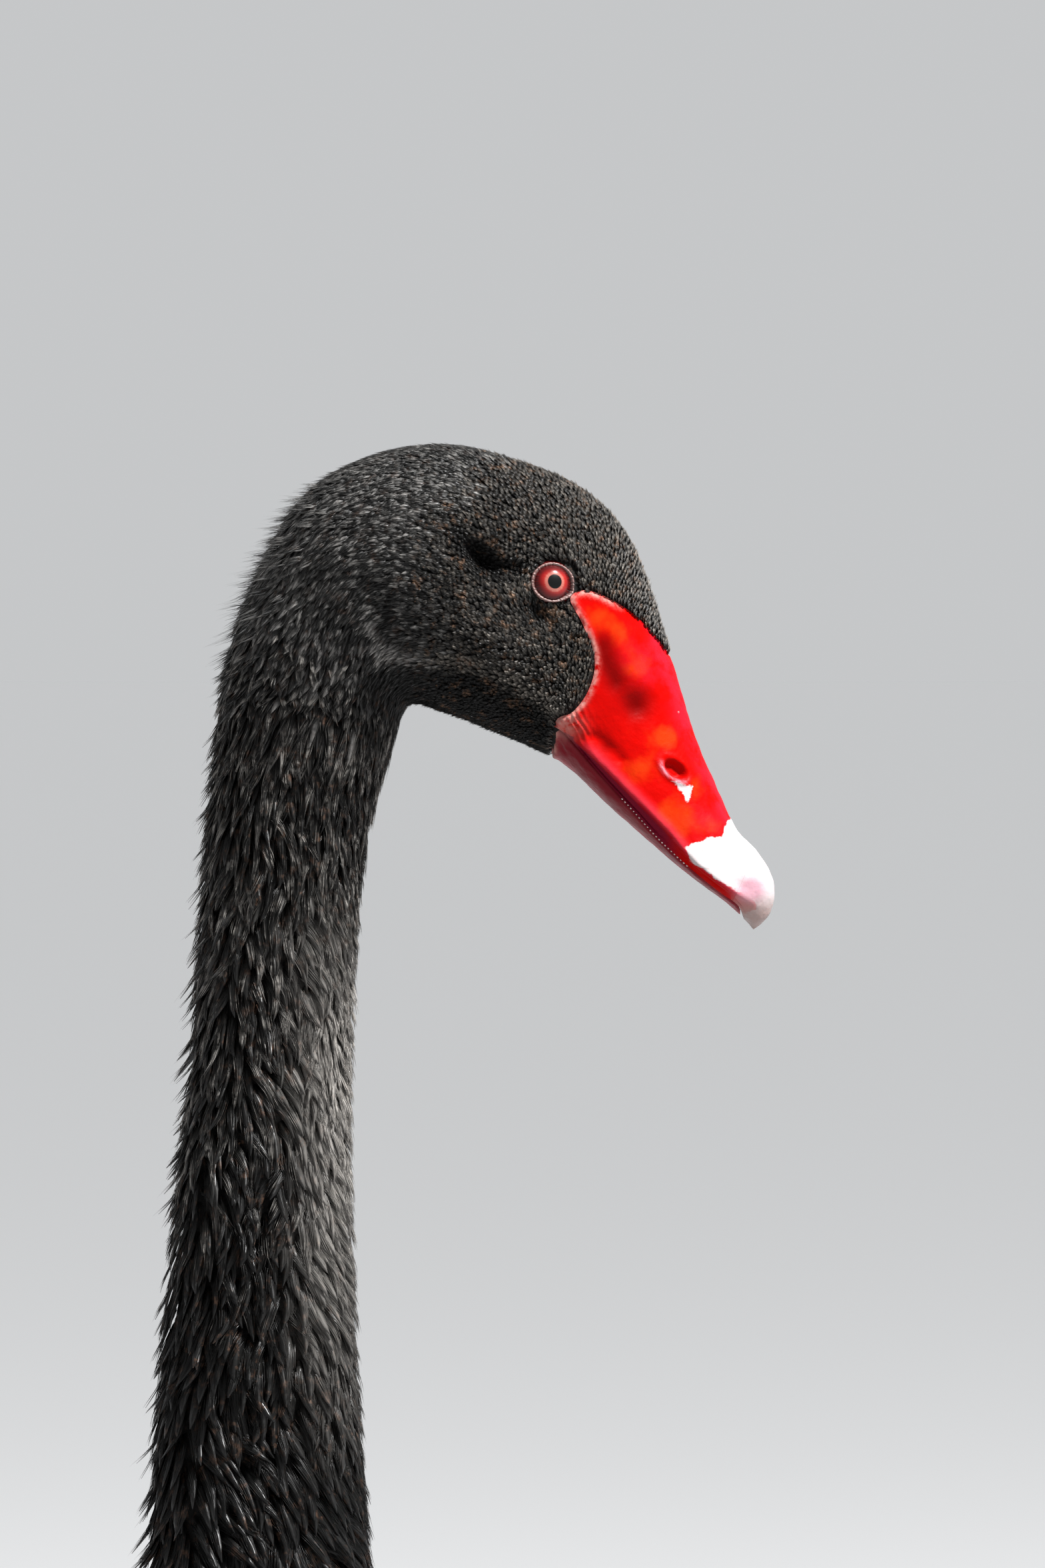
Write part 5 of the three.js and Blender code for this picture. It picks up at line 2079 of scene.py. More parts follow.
@dataclass
class Eyes:
    """Both eyes, each a ball with a raised cornea in a ring of lids."""

    form: BodyForm
    cornea: float = 0.45
    lid_long: float = 5.75
    lid_high: float = 5.1
    lid_wide: float = 0.34
    lid_tall: float = 0.5
    lid_slope: float = 0.75
    lid_rise: float = 0.25
    corner: float = 327.0
    rings: int = 72
    ball_sides: int = 96

    def seat(self) -> tuple[Array, Array, Array, Array]:
        """The point of the head at the left eye, and its outward, forward and upward directions.

        Returns:
            The point and the three directions.
        """
        t, angle = self.form.side_place(*EYE_PLACE)
        point, normal = self.form.sample(t, angle)
        look = normal * [0.85, 1, 0.85]
        look /= np.linalg.norm(look)
        ahead = np.cross(look, [0, 0, 1.0])
        ahead /= np.linalg.norm(ahead)
        return point, look, ahead, np.cross(ahead, look)

    def ball(self) -> Shell:
        """The left eyeball with its flat map seen from the front.

        Returns:
            The eyeball.
        """
        point, look, ahead, up = self.seat()
        centre = point - look * (EYE_BALL - EYE_BULGE)
        polar = np.linspace(0.004, math.pi - 0.004, self.rings)
        polar, turn = np.meshgrid(polar, circle(self.ball_sides), indexing="ij")
        radius = EYE_BALL + self.cornea * smoothstep(0.75, 0.35, polar) * 0.9
        reach = np.sin(np.minimum(polar, math.pi / 2)) * EYE_BALL
        disc = np.stack([np.cos(turn), np.sin(turn)], -1) * reach[..., None]
        side = np.sin(polar)[..., None] * (np.cos(turn)[..., None] * ahead + np.sin(turn)[..., None] * up)
        rings = centre + radius[..., None] * (side + np.cos(polar)[..., None] * look)
        shell = loft(rings)
        shell.maps = {"Disc": np.concatenate([disc.reshape(-1, 2), [[0, 0], [EYE_BALL, 0]]]) / 10}
        return shell

    def lids(self) -> Shell:
        """The ring of the left eye's lids, puckered, with a point at its front corner.

        Returns:
            The ring.
        """
        point, look, ahead, up = self.seat()
        turn = np.linspace(0, 2 * math.pi, 181)[:-1]
        wrap = np.radians((np.degrees(turn) - self.corner + 180) % 360 - 180)
        out_more = 1 + 0.09 * bell(wrap, 0.22)
        around = circle(16)
        inner = np.maximum(0, -np.cos(around)) ** 2
        rings = []
        for angle, more in zip(turn, out_more):
            away = np.cos(angle) * ahead + np.sin(angle) * up
            radial = more * (np.cos(angle) * self.lid_long * ahead + np.sin(angle) * self.lid_high * up)
            pucker = 1 + 0.12 * np.sin(angle * 31) + 0.12 * np.sin(angle * 47 + 1) + 0.15 * np.sin(angle * 5)
            outwards = np.cos(around) * self.lid_wide * pucker - inner * self.lid_slope
            upwards = np.sin(around) * self.lid_tall * pucker - inner * self.lid_slope + self.lid_rise
            rings.append(point + radial + outwards[:, None] * away + upwards[:, None] * look)
        rings = np.array(rings)
        # The inner value places the lids' painted shade.
        values = {"inner": np.tile(smoothstep(0.1, 0.75, inner), len(rings))}
        rows, columns = rings.shape[:2]
        faces = grid_faces(rows + 1, columns, True) % (rows * columns)
        return Shell(rings.reshape(-1, 3), faces, values).outward()

    def build(self) -> list[Piece]:
        """Makes both balls and both lids.

        Returns:
            The pieces.
        """
        pieces = []
        for side in ("left", "right"):
            ball, lids = self.ball(), self.lids()
            if side == "right":
                ball, lids = ball.mirrored(), lids.mirrored()
            eyeball = ball.outward().to_object(f"eyeball_{side}", Coating.IRIS.material())
            eyelid = lids.outward().to_object(f"eyelid_{side}", Coating.LID.material())
            pieces += [ride(eyeball, "iris", f"eye_{side}"), ride(eyelid, "leg_skin")]
        return pieces


# The distance between the roots of the small feathers at some sections, in millimetres.
SPACING = {
    "tail root": 9.0, "rump": 10.5, "vent": 11.5, "hind belly": 12.5, "legs": 13.0, "belly": 13.0,
    "breast": 12.5, "high breast": 12.0, "crop": 11.0, "shoulders": 9.8, "neck base": 8.2,
    "low neck": 6.8, "lower neck": 5.8, "foot of the view": 4.9, "middle neck": 4.2,
    "upper neck": 3.7, "top of the neck": 3.2, "nape": 2.7, "throat": 2.15,
    "back of the head": 1.7, "hind crown": 1.45, "crown": 1.28, "cheek": 1.2,
    "behind the eye": 1.15, "brow": 1.06, "forehead": 1.0, "bill base": 0.95,
}


@dataclass
class Coat:
    """The small plumage of head, neck and body."""

    form: BodyForm
    wing: "Wing"
    seed: int = 11
    eye_clear: Pair = (7.1, 5.9)
    eye_shift: float = 0.7

    def spacing(self, t: Array, angle: Array) -> Array:
        """The distance between roots, smaller under the chin and throat.

        Args:
            t: Places along the bird.
            angle: Angles round it, in degrees.

        Returns:
            The distance at each place, in millimetres.
        """
        places = [self.form.at(name) for name in SPACING]
        gap = np.interp(t, places, list(SPACING.values()))
        under = smoothstep(95, 165, from_back(angle))
        headward = smoothstep(17.5, 20.5, t)
        return gap * (1 - 0.22 * under * headward)

    def off_bill(self, sites: Sites) -> Array:
        """Which sites are on feathered skin, clear of bill and eye.

        Args:
            sites: The sites.

        Returns:
            True for each site to keep.
        """
        point = self.form.sample(sites.t, sites.angle)[0]
        flat = point[:, [0, 2]]
        x, z = ((flat - np.array(EYE_PLACE) - [self.eye_shift, 0]) / self.eye_clear).T
        return ~inside(flat, bare_outline()) & ~((np.hypot(x, z) < 1) & (np.abs(point[:, 1]) > 8))

    def face_tufts(self, rng: Random) -> list[Plume]:
        """Small rounded scales with a few bristles at their end.

        Args:
            rng: Where the variation comes from.

        Returns:
            The kinds of scale.
        """
        kinds = []
        for _ in range(8):
            parts = [vane(2, 3, 0.1, 0.3, root=0.75, tone=rng.uniform(0.05, 0.4))]
            for place in np.linspace(-0.85, 0.85, 6):
                u = place + rng.uniform(-0.15, 0.15)
                end = (rng.uniform(0.8, 1.2), u + rng.uniform(-0.35, 0.35))
                rise = (0.08, rng.uniform(0.05, 0.4))
                parts.append(blade((0.35, u * 0.8), end, 0.0, 0.07, rise, rng.uniform(0.1, 1), (0.0, 1.0)))
            kinds.append(Plume.joined(parts))
        return kinds

    def crown_tufts(self, rng: Random) -> list[Plume]:
        """Narrow tufts of fine flat hairs.

        Args:
            rng: Where the variation comes from.

        Returns:
            The kinds of tuft.
        """
        kinds = []
        for _ in range(8):
            parts = [vane(2, 3, 0.08, 0.8, root=0.7, tone=rng.uniform(0.2, 0.5))]
            for place in np.linspace(-0.9, 0.9, 7):
                u = place + rng.uniform(-0.12, 0.12)
                end = (rng.uniform(0.8, 1.25), 0.9 * u + rng.uniform(-0.3, 0.3))
                rise = (0.05, rng.uniform(0.03, 0.28))
                start = (rng.uniform(0.05, 0.4), u)
                parts.append(blade(start, end, 0.0, 0.065, rise, rng.uniform(0.15, 1), (0.0, 1.0)))
            kinds.append(Plume.joined(parts))
        return kinds

    def neck_plumes(self, rng: Random) -> list[Plume]:
        """Pointed plumes: a soft dark web under combed barbs that sweep to one side and curl.

        Args:
            rng: Where the variation comes from.

        Returns:
            The kinds of plume.
        """
        kinds = []
        for _ in range(12):
            sweep = rng.uniform(-0.8, 0.8)
            parts = [vane(4, 3, 0.2, 0.8, root=0.6, tone=0.0, wide=0.7)]
            for place in np.linspace(-0.95, 0.95, 11):
                u = place + rng.uniform(-0.07, 0.07)
                reach = rng.uniform(0.82, 1.14) - 0.25 * abs(u)
                end = (reach, 0.5 * u + 0.7 * sweep + rng.uniform(-0.08, 0.08))
                bow = 0.5 * sweep + rng.uniform(-0.07, 0.07)
                rise = (0.15, rng.uniform(0.15, 0.8))
                start = (rng.uniform(0.05, 0.25), u * 0.8)
                tone = rng.uniform(0.05, 1) ** 1.3
                parts.append(blade(start, end, bow, 0.1, rise, tone, (0.0, 0.35, 0.7, 1.0)))
            kinds.append(Plume.joined(parts))
        return kinds

    def body_feathers(self, rng: Random) -> list[Plume]:
        """Contour feathers with split edges."""
        return [vane(7, 5, 0.4, 0.35, root=0.5, shaft=0.15, notch=0.3, rng=rng) for _ in range(8)]

    def comb_head(self, sites: Sites, point: Array) -> Array:
        """Turns neighbouring tufts a little together and parts them round the eye.

        Args:
            sites: Where they are rooted; not used.
            point: The points of their roots.

        Returns:
            The turn of each, in radians.
        """
        x, z = point[:, 0] - EYE_PLACE[0], point[:, 2] - EYE_PLACE[1]
        reach = np.maximum(np.hypot(x, z), 1e-6)
        c, s = x / reach, z / reach
        grip = np.minimum(1, (self.eye_clear[0] / reach) ** 2)
        up = np.arctan2(2 * grip * c * s, 1 + grip - 2 * grip * c * c)
        return 0.22 * soft_noise(point, 14.0, 31) - up * np.sign(point[:, 1]) * (np.abs(point[:, 1]) > 8)

    def ruffle_neck(self, sites: Sites, point: Array) -> Array:
        """Turns neighbouring plumes together, so that the neck looks ruffled in patches.

        Args:
            sites: Where they are rooted.
            point: The points of their roots.

        Returns:
            The turn of each, in radians.
        """
        strong = smoothstep(655, 610, point[:, 2]) * smoothstep(250, 380, point[:, 2])
        forward = 0.4 * np.sin(np.radians(sites.angle))
        return (0.9 * soft_noise(point, 18.0, 41) + 0.5 * soft_noise(point, 8.0, 42) + forward) * strong

    def nape(self, sites: Sites) -> Array:
        """How far a root lies on the back of the head and the nape, from 0 to 1."""
        along = smoothstep(self.form.at("crown"), self.form.at("hind crown") - 0.5, sites.t)
        return along * smoothstep(95, 25, from_back(sites.angle))

    def front_of_neck(self, sites: Sites) -> Array:
        """How far a root lies towards the front of the neck, from 0 to 1."""
        return smoothstep(20, 150, from_back(sites.angle))

    def hind_head(self, sites: Sites) -> Array:
        """How far a root lies behind the cheek, from 0 to 1."""
        return smoothstep(self.form.at("cheek"), self.form.at("throat"), sites.t)

    def lays(self) -> dict[str, Lay]:
        """How the tufts, the plumes and the contour feathers lie."""
        return {
            "face": Lay(
                length=lambda own: own.spacing * 2.0,
                half=lambda own: own.spacing * 0.6,
                curl=lambda own: np.full(len(own.t), 0.5),
                turn=14, bend=0.25, curled=0.25, ruffle=0.14, sink=0.45, proud=0.22, own_shade=0.4,
                comb=self.comb_head,
            ),
            "crown": Lay(
                length=lambda own: own.spacing * (2.9 + 0.4 * self.hind_head(own)),
                half=lambda own: own.spacing * 0.56,
                curl=lambda own: 0.25 + 4.2 * self.nape(own),
                turn=10, bend=0.5, curled=0.2, ruffle=0.08, sink=0.45, proud=0.15, comb=self.comb_head,
            ),
            "neck": Lay(
                length=lambda own: own.spacing * 3.3,
                half=lambda own: own.spacing * 0.6,
                curl=lambda own: (1.0 + 0.4 * own.spacing) * (1.5 - 1.3 * self.front_of_neck(own)),
                turn=13, bend=3.2, sway=1.9, curled=0.34, ruffle=0.3, sink=0.8, proud=0.15, camber=0.1,
                own_shade=0.6, comb=self.ruffle_neck,
            ),
            "body": Lay(
                length=lambda own: own.spacing * 3.0,
                half=lambda own: own.spacing * 0.68,
                curl=lambda own: np.full(len(own.t), 1.8),
                turn=9, bend=2.5, curled=0.25, ruffle=0.16, sink=0.8, proud=0.15, camber=0.1,
                over=self.wing.lapped,
            ),
        }

    def build(self) -> list[Piece]:
        """Lays the coats from the bill to the tail root.

        Returns:
            The pieces.
        """
        rng = np.random.default_rng(self.seed)
        front, back = self.form.at("bill base") + 0.6, self.form.at("tail root") + 0.1
        sites = scatter(self.form, front, back, self.spacing, rng)
        sites = sites.only(self.off_bill(sites) & ~self.wing.covers(sites.t, sites.angle))
        throat, base = self.form.at("throat"), self.form.at("neck base")
        chance = rng.uniform(0, 1, len(sites.t))
        is_head = smoothstep(throat - 0.7, throat + 1.3, sites.t) > chance
        is_body = smoothstep(base + 0.9, base - 1.4, sites.t) > chance
        point = self.form.sample(sites.t, sites.angle)[0]
        in_front = point[:, 0] - 0.9 * np.maximum(0, point[:, 2] - 690)
        is_face = is_head & (smoothstep(178, 198, in_front) > rng.uniform(0, 1, len(chance)))
        lays = self.lays()
        pieces = []
        for name, mask, kinds, coating, share in (
            ("face", is_face, self.face_tufts(rng), Coating.FACE, 2),
            ("crown", is_head & ~is_face, self.crown_tufts(rng), Coating.CROWN, 2),
            ("neck", ~is_head & ~is_body, self.neck_plumes(rng), Coating.NECK, 5),
            ("body", is_body, self.body_feathers(rng), Coating.BODY, 1),
        ):
            own = sites.only(mask)
            log.info("%s: %d roots", name, len(own.t))
            for number, part in enumerate(np.array_split(np.argsort(-own.t), share)):
                shell = lay(self.form, own.only(part), kinds, lays[name], rng)
                piece = shell.to_object(f"{name}_coat_{number + 1}", coating.material())
                pieces.append(ride(piece, "plumage"))
        return pieces


@dataclass(frozen=True)
class WingRow:
    """A row of wing feathers: where its roots run from and to on the wing, and its shape."""

    start: Pair
    end: Pair
    count: int
    reach: float
    base: float = 0.0
    curl: float = 0.0
    wave: float = 0.0
    lift: float = 5.0
    broad: float = 1.15
    white: bool = False
    stations: int = 9
    columns: int = 5
    taper: float = 0.05


@dataclass
class Wing:
    """A folded wing on a chart: a runs from wrist to tips and b from the low edge up."""

    form: BodyForm
    core: float = 7.5
    core_end: float = 0.76
    under: float = 2.5
    rim: float = 1.6
    rim_front: float = -1.6
    lap: float = 4.4
    sink: float = 3.2
    step: float = 0.9
    gap: float = 0.9
    tuck: float = 0.22
    tuck_from: float = 124.0
    rows: Sequence[WingRow] = (
        WingRow((0.015, 0.1), (0.03, 0.9), 15, 0.075, broad=1.3, lift=2.6),
        WingRow((0.045, 0.08), (0.06, 0.9), 17, 0.085, broad=1.3, lift=3.6),
        WingRow((0.08, 0.08), (0.095, 0.9), 18, 0.095, broad=1.3),
        WingRow((0.115, 0.08), (0.13, 0.9), 18, 0.1, broad=1.3),
        WingRow((0.152, 0.08), (0.168, 0.9), 17, 0.11, broad=1.3),
        WingRow((0.192, 0.08), (0.21, 0.9), 16, 0.12, broad=1.3),
        WingRow((0.235, 0.07), (0.252, 0.9), 15, 0.13, base=0.2, curl=2.0),
        WingRow((0.285, 0.07), (0.302, 0.9), 14, 0.15, base=0.2, curl=3.0, wave=1.0),
        WingRow((0.34, 0.06), (0.355, 0.62), 11, 0.2, base=0.0, stations=12, columns=7),
        WingRow((0.40, 0.08), (0.42, 0.6), 11, 0.29, stations=14, columns=7, lift=4.6),
        WingRow((0.50, 0.14), (0.54, 0.54), 9, 0.34, stations=14, columns=7, lift=3.0, white=True, base=-1.2,
                taper=0.15),
        WingRow((0.36, 0.64), (0.37, 0.9), 6, 0.2, base=1.2, curl=7.0, wave=4.5, stations=14, columns=7),
        WingRow((0.43, 0.62), (0.44, 0.88), 6, 0.22, base=1.6, curl=10.0, wave=6.5, stations=16, columns=7),
        WingRow((0.50, 0.6), (0.51, 0.87), 5, 0.23, base=1.8, curl=11.0, wave=7.5, stations=16, columns=7),
        WingRow((0.57, 0.6), (0.58, 0.86), 5, 0.24, base=2.0, curl=12.0, wave=8.0, stations=16, columns=7),
    )

    def __post_init__(self) -> None:
        """Reads where the wing starts and ends along the bird."""
        self.front = self.form.at("crop") + 0.1
        self.back = self.form.at("wing tips")

    def edges(self, a: Array) -> tuple[Array, Array]:
        """The angles of the low and the top edge of the wing.

        Args:
            a: Places along the chart.

        Returns:
            The angles, in degrees.
        """
        fan = np.sqrt(np.clip(a / 0.24, 0, 1))
        low = mix(mix(84, 112, fan), 74, smoothstep(0, 1, (a - 0.4) / 0.5))
        top = mix(mix(68, 20, fan), 5, smoothstep(0, 1, (a - 0.1) / 0.3))
        return low, top

    def bulge(self, a: Array, b: Array) -> Array:
        """How far the wing stands out from the body under its feathers.

        Args:
            a: Places along the chart.
            b: Places up the chart.

        Returns:
            The height at each place.
        """
        along = smoothstep(0.02, 0.18, a) * (1 - smoothstep(0.45, 0.8, a))
        rim = mix(self.rim_front, self.rim, smoothstep(0.0, 0.08, a))
        return rim + self.core * along * np.maximum(0, np.sin(np.pi * np.clip(b, 0, 1))) ** 0.6

    def point(self, a: Array, b: Array, height: Array) -> Array:
        """A point of the wing at a height over the body.

        Args:
            a: Places along the chart.
            b: Places up the chart.
            height: Heights over the body.

        Returns:
            The points.
        """
        low, top = self.edges(a)
        t = mix(self.front, self.back, a)
        point, normal = self.form.sample(t, mix(low, top, b))
        point = point + normal * np.asarray(height)[..., None]
        point[..., 1] -= self.tuck * np.maximum(0, point[..., 1] - self.tuck_from)
        return point

    def chart(self, t: Array, angle: Array) -> tuple[Array, Array]:
        """Where on the wing's chart places of the body lie.

        Args:
            t: Places along the bird.
            angle: Angles round it, in degrees.

        Returns:
            The places along and up the chart.
        """
        a = (t - self.front) / (self.back - self.front)
        low, top = self.edges(a)
        return a, (from_back(angle) - low) / (top - low)

    def covers(self, t: Array, angle: Array) -> Array:
        """Which places of the body the wing hides."""
        a, b = self.chart(t, angle)
        return (a > 0.07) & (a < 0.72) & (b > 0.14) & (b < 0.86)

    def lapped(self, t: Array, angle: Array) -> Array:
        """How high the body's feathers lie where they lap over the front of the wing.

        Args:
            t: Places along the bird.
            angle: Angles round it, in degrees.

        Returns:
            The height at each place, 0 away from the wing's front.
        """
        a, b = self.chart(t, angle)
        over = smoothstep(-0.08, 0.06, b) * smoothstep(1.08, 0.94, b) * smoothstep(0.0, 0.04, a)
        return over * smoothstep(0.2, 0.13, a) * (self.bulge(a, b) + self.lap)

    def feather(self, row: WingRow, place: float, spread: float, rng: Random) -> Shell:
        """One feather of a row.

        Args:
            row: The row.
            place: Its place in the row, from 0 to 1.
            spread: Half the feather's width on the chart.
            rng: Where its variation comes from.

        Returns:
            The feather.
        """
        plume = vane(row.stations, row.columns, 0.55, row.taper, shaft=0.45, notch=0.09, rng=rng)
        a0, b0 = mix(np.array(row.start), np.array(row.end), place)
        reach = row.reach * rng.uniform(0.94, 1.05)
        s, side = plume.along, plume.across
        a = a0 + rng.uniform(-0.006, 0.006) + reach * s
        b = b0 + side * spread * row.broad + rng.uniform(-0.012, 0.012) * s
        lift = row.lift * rng.uniform(0.85, 1.0)
        rise = np.where(s < 0.2, mix(-self.sink, 1.0, s / 0.2), mix(1.0, lift, (s - 0.2) / 0.8))
        free = np.clip((s - 0.5) / 0.5, 0, 1)
        fold = 0.5 * free * (1 - np.cos(free * 2.2 * np.pi)) * np.maximum(0, -side)
        wave = row.wave * rng.uniform(0.5, 1.0) * fold
        curl = row.curl * rng.uniform(0.55, 1.0) * free**2
        height = self.bulge(a, b) + row.base + rise + curl + wave - self.step * side * np.minimum(1, s / 0.2)
        height = height + plume.height - 0.5 * side**2
        point = self.point(a, np.clip(b, -0.1, 1.1), height)
        point[:, 1] = np.maximum(point[:, 1], self.gap)
        root = self.form.unwrap(mix(self.front, self.back, a0), 40 + 60 * (1 - b0))
        return large_feather(point, plume, root, rng.uniform(0, 1))

    def bed(self) -> Shell:
        """The flesh of the wing, a closed form under the feathers.

        Returns:
            The closed form.
        """
        a = mix(0.006, self.core_end, np.linspace(0, 1, 44) ** 1.3)
        b = np.linspace(0, 1, 22)
        aa, bb = np.meshgrid(a, b, indexing="ij")
        over = self.point(aa, bb, self.bulge(aa, bb) - 0.6)
        below = self.point(aa, bb[:, ::-1], np.full_like(aa, -self.under))
        shell = loft(np.concatenate([over, below], axis=1))
        shell.points[:, 1] = np.maximum(shell.points[:, 1], self.gap)
        return shell

    def build(self) -> list[Piece]:
        """Makes both wings, each with its own small differences.

        Returns:
            The pieces.
        """
        pieces = []
        for side, seed in (("left", 7), ("right", 19)):
            rng = np.random.default_rng(seed)
            dark, white = [], []
            for row in self.rows:
                spread = (row.end[1] - row.start[1]) / (row.count - 1)
                for k in range(row.count):
                    made = self.feather(row, k / (row.count - 1), spread, rng)
                    (white if row.white else dark).append(made)
            shells = [Shell.joined(dark).outward(), Shell.joined(white).outward(), self.bed()]
            if side == "right":
                shells = [shell.mirrored() for shell in shells]
            coverts = shells[0].to_object(f"wing_{side}_feathers", Coating.WING.material())
            primaries = shells[1].to_object(f"wing_{side}_primaries", Coating.WHITE.material())
            bed = shells[2].to_object(f"wing_{side}_bed", Coating.SKIN.material())
            pieces.append(ride(coverts, "wing_feather", f"wing_{side}"))
            pieces.append(ride(primaries, "wing_feather"))
            pieces.append(ride(bed, "wing_feather"))
        return pieces


@dataclass
class Tail:
    """The short fanned tail with its coverts above and below."""

    form: BodyForm
    count: int = 18
    length: float = 117.0
    width: float = 23.0
    fan: float = 31.0
    step: float = 0.82
    droop: float = 14.0
    root_x: float = -272.0
    root_z: float = 141.0
    half_root: float = 12.0
    arch: float = 0.0022
    seed: int = 5
    covert_broad: float = 1.05
    # The rows of coverts: how many, their length as a share, how high and how far ahead they sit.
    coverts: Sequence[tuple[int, float, float, float]] = (
        (13, 0.62, 5.0, 4.0), (12, 0.48, 10.0, 16.0), (11, 0.36, 15.0, 28.0),
        (12, 0.6, -6.0, 6.0), (12, 0.45, -11.0, 18.0),
    )

    def feather(
        self, turn: float, length: float, width: float, height: float, x: float, plume: Plume
    ) -> Array:
        """The points of one tail feather laid out flat and bent down.

        Args:
            turn: Its turn from straight back, in degrees.
            length: Its length.
            width: Its width.
            height: Its height over the middle of the fan.
            x: Where its root lies.
            plume: Its shape.

        Returns:
            The points.
        """
        ahead = np.array([-math.cos(math.radians(turn)), math.sin(math.radians(turn))])
        s, across = plume.along, plume.across * width / 2
        px = x + ahead[0] * length * s - ahead[1] * across
        py = self.half_root * math.sin(math.radians(turn * 1.6)) + ahead[1] * length * s + ahead[0] * across
        drop = self.droop * s * (length / self.length) ** 2 * (1 + 0.3 * s)
        return np.stack([px, py, self.root_z + height - self.arch * py**2 - drop + plume.height], 1)

    def build(self) -> list[Piece]:
        """Makes the large feathers and the two layers of coverts.

        Returns:
            The pieces.
        """
        rng = np.random.default_rng(self.seed)
        middle = (self.count - 1) / 2
        shells = []
        layers = [(off, 1.0, 0.0, self.root_x, 1.0) for off in (np.arange(self.count) - middle) / middle]
        for count, share, rise, back in self.coverts:
            x = self.root_x + back
            layers += [(off, share, rise, x, self.covert_broad) for off in np.linspace(-1, 1, count)]
        for off, share, rise, x, broad in layers:
            plume = vane(12, 5, 0.5, 0.1, shaft=0.4 if rise >= 0 else -0.2, notch=0.08, rng=rng)
            length = self.length * share * (1 - 0.2 * off * off + 0.02 * rng.uniform(-1, 1))
            height = -abs(off) * middle * self.step + rise * (1 - 0.35 * abs(off))
            points = self.feather(off * self.fan, length, self.width * broad, height, x, plume)
            points[:, 2] -= rise * plume.along * 0.75 + 0.35 * np.abs(plume.across)
            root = self.form.unwrap(self.form.at("tail root"), 90 * off)
            shells.append(large_feather(points, plume, root, rng.uniform(0, 1)))
        piece = Shell.joined(shells).outward().to_object("tail_feathers", Coating.WING.material())
        return [ride(piece, "wing_feather", "tail")]


